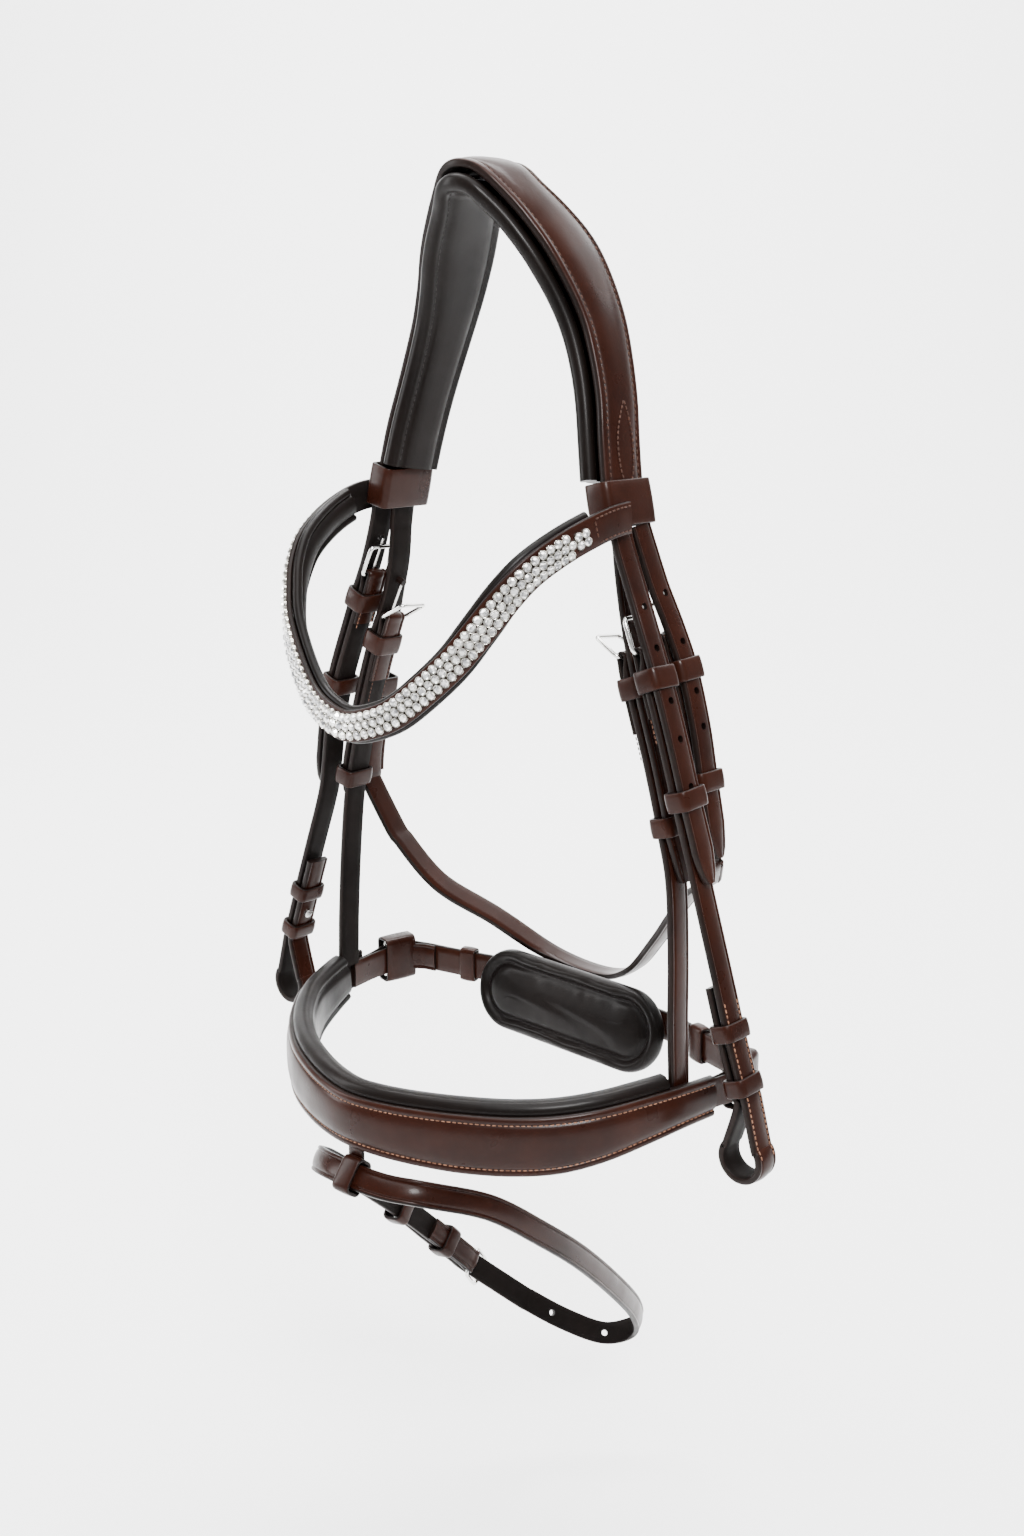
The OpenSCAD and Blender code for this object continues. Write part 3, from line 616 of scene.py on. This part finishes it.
def punch(obj, places):
    """Cuts round holes through a strap and leaves their rims crisp."""
    parts = []
    for p, _, out, _ in places:
        side = unit(np.cross(out, (0.3, 0.2, 1)))
        ends = ((HOLE_R, -HOLE_DEPTH), (HOLE_R, HOLE_DEPTH))
        parts.append(turned(p, side, np.cross(out, side), out, ends, 16))
    verts, faces, _ = join(*parts)
    mesh = bpy.data.meshes.new("cutter")
    mesh.from_pydata([tuple(v * MM) for v in verts], [], faces)
    mesh.materials.append(EDGE_MAT)
    cutter = bpy.data.objects.new("cutter", mesh)
    bpy.context.scene.collection.objects.link(cutter)
    modifier = obj.modifiers.new("holes", "BOOLEAN")
    modifier.operation, modifier.solver, modifier.object = "DIFFERENCE", "EXACT", cutter
    modifier.material_mode = "TRANSFER"
    obj.data = modified(obj)
    obj.modifiers.clear()
    bpy.data.objects.remove(cutter)


def modified(obj):
    """The mesh of a piece with its modifiers applied."""
    bpy.context.view_layer.update()
    depsgraph = bpy.context.evaluated_depsgraph_get()
    return bpy.data.meshes.new_from_object(obj.evaluated_get(depsgraph))


def heel(inner, heel_z):
    """The seat of a buckle's heel bar."""
    return seat(below(inner, heel_z), ACROSS_Y, 0)


def hole_seats(path, inner, heel_z, start, stop):
    """A billet's holes; hole 0 is where the hooked tongue comes through."""
    p, w, n, t = heel(inner, heel_z)
    seats = [(p + n * LAYER_PITCH - t * TONGUE_L, w, n, t)]
    return seats + [seat(path, ACROSS_Y, first_below(path, heel_z + TONGUE_L - k * HOLE_PITCH))
                    for k in range(start, stop + 1) if k]


def strap(name, path, across, widths, thick, section=strap_section, holes=(), far=False,
          mats=STRAP_MATS, **where):
    """A leather strap in its three leathers, with its holes punched."""
    obj = make(name, sweep(path, across, section, widths, thick), mats, mirror=far, **where)
    if holes:
        punch(obj, [mirror_seat(h) for h in holes] if far else holes)


def group(name, parts, mats, **where):
    make(name, join(*parts), mats, **where)


def pad(name, part):
    obj = make(name, part, [PAD_MAT], slot="padding_leather", sharp=70)


# ---- Headpiece ----------------------------------------------------------------------------------


def along_leg(row, side, u0, u1, n=24):
    """Points and outward directions on the crown's lower leg; row(u) gives the side offset."""
    rings = smooth(crown_path, FINE)
    _, out, wide = axes(rings, -ACROSS_Y)
    last = len(rings) - 1
    points, outs = [], []
    for k in range(n + 1):
        u = k / n
        s = (u0 + (u1 - u0) * u) * last
        i = int(s)
        f = s - i
        p = rings[i] * (1 - f) + rings[min(i + 1, last)] * f
        points.append(p + wide[i] * row(u) * side)
        outs.append(out[i])
    return np.array(points), np.array(outs)


def leg_motif(lift, almond=5.2, vee=9):
    """The almond and the inverted V, by their half widths, stitched at the crown's lower end."""
    parts = []
    for row, u0, u1 in ((lambda u: almond * math.sin(math.pi * u), 0.135, 0.035),
                        (lambda u: vee * u, 0.045, 0.008)):
        for side in (1, -1):
            points, outs = along_leg(row, side, u0, u1)
            parts.append(stitch_line(points + outs * lift, outs, MOTIF_STITCH))
    return join(*parts)


def crown():
    strap("crown_leather", crown_path, -ACROSS_Y, crown_widths, CROWN_T, section=crown_section)
    rows = edge_rows(crown_path, -ACROSS_Y, crown_widths, CROWN_T / 2 - 0.35, EDGE_INSET, CROWN_STITCH)
    outer, inner = leg_motif(CROWN_T / 2 + 1.35), leg_motif(-CROWN_T / 2 - 0.15)
    group("crown_stitching", [rows, outer, flip(outer), inner, flip(inner)], [DARK_THREAD],
          nodes=["crown_leather"])


def roll_section(a, b):
    """A padded lining whose rolled edges show beside the leather, with a seam inside each."""
    r = b * 1.15
    turns = np.radians([200, 165, 135, 105, 75, 45, 20])
    roll = [(-a + r + r * math.cos(t), 0.42 * b + r * math.sin(t)) for t in turns]
    top = roll + [(-a + 2.2 * r, b - 1.2), (-a * 0.35, b - 0.8), (0, b - 0.7)]
    top += [(-x, y) for x, y in top[-2::-1]]
    under = [(a - 0.5, -b * 0.35), (a - 1.8, -b * 0.85), (a - 3.6, -b - 0.3)]
    swell = [(f * (a - PAD_SEAM), -b - 1.3 + 2.0 * abs(f) ** 6)
             for f in (1, 0.85, 0.6, 0.3, 0, -0.3, -0.6, -0.85, -1)]
    points = top + under + swell + [(-x, y) for x, y in under[::-1]]
    return points, [0] * len(points)


def roll_pad(name, path, across, widths, half):
    pad(name, sweep(path, across, roll_section, widths, 2 * half))
    rows = edge_rows(path, across, widths, -half + 0.55, PAD_SEAM, PAD_STITCH)
    group(name + "_seam", [rows], [BLACK_THREAD], nodes=[name], slot="padding_leather")


def crown_padding(squeeze=0.38, passes=5, reach=2.6):
    """Squeezed to a share of its thickness, evened out in passes and run on to reach its ends."""
    half = CROWN_PAD_T * squeeze
    inside = CROWN_T / 2 + GAP + STRAP_T + GAP + half
    kept = slice(PAD_END, len(crown_path) - PAD_END)
    path = moved_out(crown_path, -ACROSS_Y, -inside)[kept]
    for _ in range(passes):
        path[1:-1] = path[1:-1] / 2 + (path[2:] + path[:-2]) / 4
    path[0] += unit(path[0] - path[1]) * reach
    path[-1] += unit(path[-1] - path[-2]) * reach
    roll_pad("crown_padding", path, -ACROSS_Y, crown_widths[kept] + 2 * PAD_MARGIN, half)


def headstrap():
    inside = CROWN_T / 2 + GAP + STRAP_T / 2
    top = moved_out(crown_path, -ACROSS_Y, -inside)[3: len(crown_path) - 3]
    side = above(below(nose_outer, -146), -293)
    path = np.concatenate([side[::-1], top, mirrored(side)])
    tips = pointed(STRAP_W, side)
    widths = np.concatenate([tips[::-1], np.full(len(top), float(STRAP_W)), tips])
    holes = hole_seats(nose_outer, nose_strap_path, NOSE_Z, 0, 1)
    strap("noseband_headstrap", path, -ACROSS_Y, widths, STRAP_T,
          section=lambda a, b: strap_section(a, b, rise=0.0, crease=0.3),
          holes=holes + [mirror_seat(h) for h in holes])


def billets():
    """The headpiece's four split ends, each with its first and last hole."""
    for kind, path, inner, end_z, sides in (
        ("cheek", cheek_path, cheek_inner, -290, ((NEAR_CHEEK_Z, 0, 4), (FAR_CHEEK_Z, 0, 5))),
        ("throat", throat_path, throat_inner, -285, ((NEAR_THROAT_Z, 0, 3), (FAR_THROAT_Z, -3, 0))),
    ):
        end = above(path, end_z)
        for side, (heel_z, first, last) in zip(("near", "far"), sides):
            strap(f"{side}_{kind}_billet", end, ACROSS_Y, pointed(STRAP_W, end), STRAP_T,
                  holes=hole_seats(path, inner, heel_z, first, last), far=side == "far")


# ---- Browband -----------------------------------------------------------------------------------


def browband():
    strap("browband", brow_path, -ACROSS_Z, BROW_W, 2.4, section=plain_section)
    last = len(brow_path) - 1
    ends = [edge_rows(part, -ACROSS_Z, BROW_W, 1.45, 1.7, BROW_STITCH)
            for part in (brow_path[:CRYSTAL_END], brow_path[last - CRYSTAL_END + 1:])]
    p, w, n, _ = seat(brow_path, -ACROSS_Z, CRYSTAL_END - 1, 1.55)
    close = np.array([p + w * s for s in np.linspace(-5, 5, 7)])
    row = stitch_line(close, np.repeat(n[None], 7, 0), BROW_STITCH)
    group("browband_stitching", ends + [row, flip(row)], [DARK_THREAD], nodes=["browband"])


def browband_lining():
    path = moved_out(brow_path, -ACROSS_Z, -4)[6: len(brow_path) - 6]
    pad("browband_lining", sweep(path, -ACROSS_Z, lining_section, BROW_W + 3, 4.8))


def stone(at, across, out, along, r):
    """A faceted stone: eight crown facets, a table and a low girdle."""
    profile = [(r * radius, r * h) for radius, h in ((1.0, 0.0), (1.0, 0.35), (0.56, 0.95))]
    return turned(at, across, along, out, profile, 8, phase=0.5)


def cup(at, across, out, along, r):
    """The setting round a stone: a short tube with a rolled rim."""
    rim = ((1.16, -0.5), (1.2, 0.25), (1.13, 0.45), (1.0, 0.4), (0.96, -0.5))
    return turned(at, across, along, out, [(r * radius, r * h) for radius, h in rim], 10, hollow=True)


def crystals(pitch=4.1, row_gap=3.8, r=1.86, lift=1.75):
    """Three staggered rows of round stones, and two at each end."""
    rings = smooth(brow_path[CRYSTAL_END: len(brow_path) - CRYSTAL_END], 6)
    run = distances(rings)
    t, n, w = axes(rings, -ACROSS_Z)
    count = int(run[-1] / pitch)
    stones, cups = [], []
    for k in range(2 * count + 1):
        s = k * pitch / 2 + (run[-1] - count * pitch) / 2
        if k < 4 or k > 2 * count - 4:
            rows = () if k % 2 else (-0.5, 0.5)
        else:
            rows = (-1, 1) if k % 2 else (0,)
        i = min(int(np.searchsorted(run, s)), len(rings) - 1)
        for row in rows:
            at = at_distance(s, run, rings) + n[i] * lift + w[i] * row * row_gap
            stones.append(stone(at, w[i], n[i], t[i], r))
            cups.append(cup(at, w[i], n[i], t[i], r))
    on = ["browband_crystals"]
    group("browband_crystals", stones, [CRYSTAL_PAINTED_SPARKLE_MAT], nodes=on, slot="crystal", sharp=12)
    group("crystal_settings", cups, [SETTING_MAT], nodes=on, slot="steel", sharp=40)


def browband_loops():
    inside = CROWN_T / 2 + GAP + STRAP_T + 2.2
    outside = CROWN_T / 2 + 0.5
    place = seat(crown_path, -ACROSS_Y, 2, (outside - inside) / 2)
    ring = band(place, 28.4, inside + outside, 20, 1.9)
    make("near_browband_loop", ring, STRAP_MATS)
    make("far_browband_loop", flip(ring), STRAP_MATS)


# ---- Cheekpieces --------------------------------------------------------------------------------


def chape_rows(inner, heel_z):
    """The stitches that close a strap's folded end."""
    chape = below(inner, heel_z)[3:9]
    return edge_rows(chape, ACROSS_Y, STRAP_W, -CHAPE_OUT - 0.75, 1.8, CHAPE_STITCH)


def cheekpiece(side, far, heel_z):
    points, thick, wide = fold(below(cheek_inner, heel_z), ACROSS_Y)
    lower = np.concatenate([BIT_LOOP, bit_return])
    points = np.concatenate([points, lower])
    thick = np.concatenate([thick, np.full(len(lower), float(STRAP_T))])
    wide = np.concatenate([wide, np.tile(ACROSS_Y, (len(lower), 1))])
    stud = seat(cheek_path, ACROSS_Y, first_below(cheek_path, STUD_Z), -2 * LAYER_PITCH)
    strap(f"{side}_cheekpiece", points, wide, STRAP_W, thick, holes=[stud], far=far)
    shown = np.concatenate([below(cheek_inner, -338), BIT_LOOP[:5]])
    rows = edge_rows(shown, ACROSS_Y, STRAP_W, STRAP_T / 2 + 0.05, 2.0, CHEEK_STITCH)
    parts = [flip(rows, far), flip(chape_rows(cheek_inner, heel_z), far)]
    group(f"{side}_cheekpiece_stitching", parts, [TAN_THREAD], nodes=[f"{side}_cheekpiece"])


def fixed_keeper(path, z):
    inside = LAYER_PITCH + CHAPE_OUT + 0.8 + GAP
    outside = STRAP_T / 2 + GAP
    place = seat(path, ACROSS_Y, first_below(path, z), (outside - inside) / 2)
    return band(place, STRAP_W + 0.8, inside + outside)


def runner(name, path, z):
    place = seat(path, ACROSS_Y, first_below(path, z), -LAYER_PITCH / 2)
    ring = band(place, STRAP_W + 1.4, LAYER_PITCH + STRAP_T + 1.6, 9)
    part = flip(ring, name.startswith("far"))
    make(f"{name}_runner", part, STRAP_MATS, body=f"{name}_sliding_keeper")


def keepers():
    for kind, path, near_z, far_z in (
        ("cheek", cheek_path, NEAR_CHEEK_Z - 12, FAR_CHEEK_Z - 12),
        ("throat", throat_path, NEAR_THROAT_Z - 12, FAR_THROAT_KEEPER_Z),
        ("noseband", nose_outer, NOSE_Z - 10, NOSE_Z - 10),
    ):
        parts = [fixed_keeper(path, near_z), flip(fixed_keeper(path, far_z))]
        group(f"{kind}_keepers", parts, STRAP_MATS)
    parts = []
    for z in BIT_KEEPERS_Z:
        place = seat(cheek_path, ACROSS_Y, first_below(cheek_path, z), -1.5 * LAYER_PITCH)
        ring = band(place, STRAP_W + 0.8, LAYER_PITCH + STRAP_T + 0.8, 8)
        parts += [ring, flip(ring)]
    group("bit_keepers", parts, STRAP_MATS)
    runner("near_cheek", cheek_path, -252)
    runner("far_cheek", cheek_path, -232)
    runner("near_throat", throat_path, -250)
    runner("near_noseband", nose_outer, -269)
    runner("far_noseband", nose_outer, -281)


# ---- Throatlash and noseband --------------------------------------------------------------------


def throatlash():
    near, near_t, near_w = fold(below(throat_inner, NEAR_THROAT_Z), ACROSS_Y)
    far, far_t, far_w = fold(below(throat_inner, FAR_THROAT_Z), ACROSS_Y)
    middle = smooth(THROAT_LOOP, 4)
    path = np.concatenate([near, middle, mirrored(far)[::-1]])
    thick = np.concatenate([near_t, np.full(len(middle), float(STRAP_T)), far_t[::-1]])
    wide = np.concatenate([near_w, np.tile(ACROSS_Y, (len(middle), 1)), (far_w * (-1, 1, 1))[::-1]])
    strap("throatlash", path, wide, STRAP_W, thick, mats=LINED_MATS)


def noseband_strap(side, far):
    points, thick, wide = fold(below(nose_strap_path, NOSE_Z), ACROSS_Y)
    name = f"{side}_noseband_strap"
    strap(name, points, wide, STRAP_W, thick, far=far)
    rows = flip(chape_rows(nose_strap_path, NOSE_Z), far)
    group(f"{name}_stitching", [rows], [DARK_THREAD], nodes=[name])


def nose_piece():
    strap("nose_piece", nose_path, -ACROSS_Z, nose_widths, NOSE_T, section=crown_section)
    rows = edge_rows(nose_path, -ACROSS_Z, nose_widths, NOSE_T / 2 - 0.4, EDGE_INSET, NOSE_STITCH)
    group("nose_piece_stitching", [rows], [TAN_THREAD], nodes=["nose_piece"])


def nose_padding():
    kept = slice(4, len(nose_path) - 4)
    path = moved_out(nose_path, -ACROSS_Z, -NOSE_T / 2 - GAP - NOSE_PAD_T / 2) + (0, 0, 2.5)
    roll_pad("nose_padding", path[kept], -ACROSS_Z, nose_widths[kept] + 6, NOSE_PAD_T / 2)


def side_tab(side, far, height=15, t=1.4, bend_r=2.65):
    """A doubled strap from the nose piece's end round the ring's front bar."""
    start, bar = np.array([116.0, 17, -402]), TAB_BAR
    run = unit(bar - start)
    n = np.cross(run, ACROSS_Z)
    turn = [bar + (n * math.cos(a) + run * math.sin(a)) * bend_r
            for a in np.radians(np.linspace(-20, 200, 12))]
    path = np.array([start + n * 0.75, start + n * 0.75 + run * 14, bar - run * 6 + n * 1.6] + turn
                    + [bar - run * 6 - n * 1.6, start - n * 0.75 + run * 14, start - n * 0.75])
    part = sweep(path, ACROSS_Z, plain_section, height, t, by=2)
    make(f"{side}_side_tab", flip(part, far), STRAP_MATS)


def ring_covers():
    """Leather sleeves round the side rings."""
    along = unit(CRANK_BAR - TAB_BAR)
    place = ((TAB_BAR + CRANK_BAR) / 2, ACROSS_Z, np.cross(along, ACROSS_Z), along)
    ring = band(place, 22.4, 8.2, 18.6, 1.4)
    group("ring_covers", [ring, flip(ring)], STRAP_MATS)


def crank_strap():
    half, thick, _ = fold(crank_path[: len(crank_path) // 2 + 1], ACROSS_Z, steps=2, r=2.6)
    path = np.concatenate([half, mirrored(half)[::-1][1:]])
    thick = np.concatenate([thick, thick[::-1][1:]])
    strap("crank_strap", path, ACROSS_Z, CRANK_W, thick, mats=LINED_MATS)
    parts = [band(seat(crank_path, ACROSS_Z, i), CRANK_W + 0.8, 3.8, 9)
             for i in (9, len(crank_path) - 10)]
    group("crank_keepers", parts, STRAP_MATS)


# ---- Chin pad -----------------------------------------------------------------------------------

CHIN_SIN, CHIN_COS = math.sin(math.radians(78)), math.cos(math.radians(78))


def stadium_ring(inset, n):
    """n points of the pad's outline moved in by inset, about its centre."""
    r = CHIN_H / 2 - inset
    flat = CHIN_L - CHIN_H
    total = 2 * flat + 2 * math.pi * (CHIN_H / 2)
    out = []
    for k in range(n):
        s = (k + 0.5) / n * total
        arc = math.pi * CHIN_H / 2
        if s < flat:
            out.append((-flat / 2 + s, -r))
        elif s < flat + arc:
            a = (s - flat) / (CHIN_H / 2) - math.pi / 2
            out.append((flat / 2 + r * math.cos(a), r * math.sin(a)))
        elif s < 2 * flat + arc:
            out.append((flat / 2 - (s - flat - arc), r))
        else:
            a = (s - 2 * flat - arc) / (CHIN_H / 2) + math.pi / 2
            out.append((-flat / 2 + r * math.cos(a), r * math.sin(a)))
    return out


def chin_place(x, y, z):
    """From the pad's own plane to the row frame: z is towards the horse's chin."""
    return CHIN_AT + np.array([x, y * CHIN_COS - z * CHIN_SIN, y * CHIN_SIN + z * CHIN_COS])


def chin_rings(profile, n):
    return [chin_place(x, y, z) for inset, z in profile for x, y in stadium_ring(inset, n)]


def chin_stitches(inset, z, facing, stitch):
    """A closed row of stitches on the pad's face, where facing is 1, or on its back at -1."""
    seam = chin_rings([(inset, z)], 160)
    seam = np.array(seam + seam[:1])
    out = np.tile(chin_place(0, 0, facing) - chin_place(0, 0, 0), (len(seam), 1))
    return stitch_line(seam, out, stitch)


# Inset and height of the pad's rings: up its face, then down its back.
CHIN_PROFILE = [(0.0, 0.0), (0.4, 2.6), (1.6, 4.4), (3.4, 5.2), (5.2, 4.7), (6.6, 2.9), (7.4, 2.3),
                (8.4, 3.0), (10.2, 4.4), (13.0, 5.4), (16.5, 5.9), (19.5, 6.1), (21.4, 6.2)]
CHIN_BACK = [(0.4, -2.6), (2.4, -4.6)]
CHIN_N, CHIN_TOP = 120, len(CHIN_PROFILE)


def chin_pad():
    """The pad's leather is blown up from its seams by cloth simulation, so it creases as if sewn."""
    n, rings = CHIN_N, CHIN_TOP
    verts = chin_rings(CHIN_PROFILE + CHIN_BACK, n)
    faces = quads(range(rings), n)
    top = [(rings - 1) * n + k for k in range(n)]
    faces += [(top[k], top[k + 1], top[n - 2 - k], top[n - 1 - k]) for k in range(n // 2 - 1)]
    faces += quads((rings, 0), n) + quads((rings + 1, rings), n)
    faces.append(tuple((rings + 1) * n + k for k in range(n)))
    part = (verts, faces, [0] * len(faces))
    obj = make("chin_pad", part, [PAD_MAT], slot="padding_leather", sharp=75)
    puff(obj)
    group("chin_pad_seam", [chin_stitches(8.1, 2.55, 1, CHIN_STITCH)], [BLACK_THREAD],
          nodes=["chin_pad"], slot="padding_leather")


def puff(obj, frames=12, furthest=0.0004, first_soft=9, passes=14):
    """Some frames of cloth under pressure: the outer edge, the seam groove and the back stay put.

    No point moves more than furthest, and the rings from first_soft in are then smoothed in passes.
    """
    n = CHIN_N
    held = obj.vertex_groups.new(name="held")
    for ring, weight in ((0, 1), (1, 1), (6, 1), (7, 0.6), (CHIN_TOP, 1), (CHIN_TOP + 1, 1)):
        held.add([ring * n + k for k in range(n)], weight, "REPLACE")
    cloth = obj.modifiers.new("cloth", "CLOTH")
    cloth.settings.quality = 6
    cloth.settings.mass = 0.3
    cloth.settings.tension_stiffness = 8
    cloth.settings.compression_stiffness = 8
    cloth.settings.shear_stiffness = 4
    cloth.settings.bending_stiffness = 1.5
    cloth.settings.shrink_min = -0.008
    cloth.settings.vertex_group_mass = "held"
    cloth.settings.effector_weights.gravity = 0
    cloth.settings.use_pressure = True
    cloth.settings.uniform_pressure_force = 2
    cloth.collision_settings.use_collision = False
    cloth.point_cache.frame_start, cloth.point_cache.frame_end = 1, frames
    scene = bpy.context.scene
    before = np.array([v.co[:] for v in obj.data.vertices])
    for f in range(1, frames + 1):
        scene.frame_set(f)
        bpy.context.view_layer.update()
    done = modified(obj)
    move = np.array([v.co[:] for v in done.vertices]) - before
    size = np.linalg.norm(move, axis=1)
    move *= np.minimum(1, furthest / np.maximum(size, 1e-9))[:, None]
    done.vertices.foreach_set("co", (before + move).ravel())
    bm = bmesh.new()
    bm.from_mesh(done)
    bm.verts.ensure_lookup_table()
    middle = [bm.verts[k] for k in range(first_soft * n, CHIN_TOP * n)]
    for _ in range(passes):
        bmesh.ops.smooth_vert(
            bm, verts=middle, factor=0.5, use_axis_x=True, use_axis_y=True, use_axis_z=True
        )
    bm.to_mesh(done)
    bm.free()
    obj.modifiers.clear()
    obj.vertex_groups.clear()
    obj.data = done
    scene.frame_set(1)
    smoother = obj.modifiers.new("smooth", "SUBSURF")
    smoother.levels = smoother.render_levels = 1


def chin_backing(n=96):
    profile = ((5.2, -5.5), (4.1, -6.0), (4.1, -7.1), (4.7, -7.7), (6.4, -7.8))
    rings = len(profile)
    faces = quads(range(rings), n) + [tuple(range(n)), tuple(range((rings - 1) * n, rings * n))]
    part = (chin_rings(profile, n), faces, [0] * len(faces))
    make("chin_pad_backing", part, [HAVANA_MAT], sharp=40)
    group("chin_backing_stitching", [chin_stitches(8.0, -7.85, -1, BACKING_STITCH)], [DARK_THREAD],
          nodes=["chin_pad_backing"])


# ---- Flash strap --------------------------------------------------------------------------------


def flash_loop():
    ring = band(seat(flash_core, FLASH_ACROSS, FLASH_FRONT), FLASH_W + 2.2, 7.4, 10, 1.6)
    low, high = np.array([2.5, -89.3, -431.2]), np.array([2.5, -89.3, -424.4])
    tab = sweep(np.linspace(low, high, 5), np.array([-1.0, 0, 0]), plain_section, 9.6, 1.8, by=1)
    group("flash_loop", [ring, tab], STRAP_MATS)


def flash():
    bend, thick, wide = fold(flash_back, -FLASH_ACROSS, steps=2)
    end = flash_tail[::-1]
    path = np.concatenate([bend, end])
    widths = np.concatenate([np.full(len(bend), float(FLASH_W)), pointed(FLASH_W, end)])
    thick = np.concatenate([thick, np.full(len(end), float(STRAP_T))])
    wide = np.concatenate([wide, np.tile(-FLASH_ACROSS, (len(end), 1))])
    holes = [seat(flash_core, FLASH_ACROSS, i) for i in (3, 8, 13)]
    strap("flash_strap", path, wide, widths, thick, holes=holes, body="flash")
    inside, outside = CHAPE_OUT + 0.8 + GAP, LAYER_PITCH + STRAP_T / 2 + GAP + 0.2
    place = seat(flash_core, FLASH_ACROSS, flash_last - 2, (outside - inside) / 2)
    make("flash_keeper", band(place, FLASH_W + 0.8, inside + outside, 8), STRAP_MATS, body="flash")
    place = seat(flash_core, FLASH_ACROSS, flash_last - 5, LAYER_PITCH / 2)
    ring = band(place, FLASH_W + 1.4, LAYER_PITCH + STRAP_T + 1.6, 8)
    make("flash_runner", ring, STRAP_MATS, body="flash_sliding_keeper")
    wire = buckle_frame(seat(flash_back, -FLASH_ACROSS, 0), FLASH_W, -FLASH_FRAME_TILT)
    make("flash_buckle", wire, [STEEL_MAT], body="flash", slot="steel")


# ---- Buckles ------------------------------------------------------------------------------------


def buckles():
    for name, inner, heels, opened in (
        ("cheek", cheek_inner, (NEAR_CHEEK_Z, FAR_CHEEK_Z), 0),
        ("throat", throat_inner, (NEAR_THROAT_Z, FAR_THROAT_Z), 0),
        ("noseband", nose_strap_path, (NOSE_Z, NOSE_Z), NOSE_FRAME_OPEN),
    ):
        for side, heel_z in zip(("near", "far"), heels):
            wire = flip(buckle_frame(heel(inner, heel_z), STRAP_W, opened), side == "far")
            make(f"{side}_{name}_buckle", wire, [STEEL_MAT], body=f"{side}_{name}_frame", slot="steel")


def steel_nodes():
    """Tongues, studs and rings are shown as the CAD has them, in steel."""
    for name in ("cheek_tongues", "throat_tongues", "noseband_tongues", "flash_tongue",
                 "hook_studs", "side_rings"):
        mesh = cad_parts[name].data
        mesh.materials.clear()
        mesh.materials.append(STEEL_MAT)


# ---- Floor and light ----------------------------------------------------------------------------

WORLD = 0.6
GROUND_Z, SWEEP_FRONT, SWEEP_BEND, SWEEP_R, SWEEP_HALF, SWEEP_TOP = -0.68, -3.0, 1.6, 1.6, 4.0, 3.6
MIDDLE = (0, 0, -0.3)

# Area lights: name, place, aim, size and watts.
LIGHTS = (
    ("key", (1.1, -0.8, 0.9), MIDDLE, (0.5, 0.5), 60),
    ("left", (-1.3, -1.0, 0.3), MIDDLE, (0.4, 1.4), 30),
    ("rim", (0.3, 1.5, 0.9), MIDDLE, (1.2, 0.5), 12),
    ("backdrop", (-0.9, 1.0, 2.6), (-2.0, 2.2, 0.2), (3.0, 1.5), 420),
    ("overhead", (0.2, -0.3, 2.4), (0.2, -0.3, GROUND_Z), (2.4, 2.4), 150),
)


def floor():
    """A pale paper sweep: flat under the bridle, then curving up behind it."""
    material, tree, bsdf = shader("floor_paint")
    tone = ramp(tree, noise(tree, 0.8, 2.0), (0.86, 0.86, 0.86), (0.89, 0.89, 0.89))
    tree.links.new(tone, bsdf.inputs["Base Color"])
    put(bsdf, Roughness=0.9, Specular_IOR_Level=0.1)
    profile = [(SWEEP_FRONT, GROUND_Z)]
    profile += [(SWEEP_BEND + SWEEP_R * math.sin(a), GROUND_Z + SWEEP_R * (1 - math.cos(a)))
                for a in np.radians(np.linspace(0, 90, 17))]
    profile += [(SWEEP_BEND + SWEEP_R, SWEEP_TOP)]
    away = (-math.sin(CAMERA_AZIMUTH), math.cos(CAMERA_AZIMUTH))
    verts = [(away[0] * d + side * away[1], away[1] * d - side * away[0], z)
             for d, z in profile for side in (-SWEEP_HALF, SWEEP_HALF)]
    faces = [(2 * i, 2 * i + 1, 2 * i + 3, 2 * i + 2) for i in range(len(profile) - 1)]
    mesh = bpy.data.meshes.new("floor")
    mesh.from_pydata(verts, [], faces)
    mesh.materials.append(material)
    mesh.polygons.foreach_set("use_smooth", [True] * len(faces))
    obj = bpy.data.objects.new("floor", mesh)
    bpy.context.scene.collection.objects.link(obj)


def area_light(name, at, aim, size, watts):
    data = bpy.data.lights.new(name, "AREA")
    data.shape, data.size, data.size_y = "RECTANGLE", size[0], size[1]
    data.energy = watts
    light = bpy.data.objects.new(name, data)
    bpy.context.scene.collection.objects.link(light)
    light.location = at
    light.rotation_mode = "QUATERNION"
    light.rotation_quaternion = (Vector(aim) - Vector(at)).to_track_quat("-Z", "Y")


def lights():
    world = bpy.data.worlds.new("studio")
    world.use_nodes = True
    put(world.node_tree.nodes["Background"], Color=(1, 1, 1, 1), Strength=WORLD)
    bpy.context.scene.world = world
    for light in LIGHTS:
        area_light(*light)


# ---- The bridle ---------------------------------------------------------------------------------

crown()
crown_padding()
headstrap()
billets()
browband()
browband_lining()
crystals()
browband_loops()
cheekpiece("near", False, NEAR_CHEEK_Z)
cheekpiece("far", True, FAR_CHEEK_Z)
keepers()
throatlash()
noseband_strap("near", False)
noseband_strap("far", True)
nose_piece()
nose_padding()
side_tab("near", False)
side_tab("far", True)
ring_covers()
crank_strap()
chin_pad()
chin_backing()
flash_loop()
flash()
buckles()
steel_nodes()
floor()
lights()
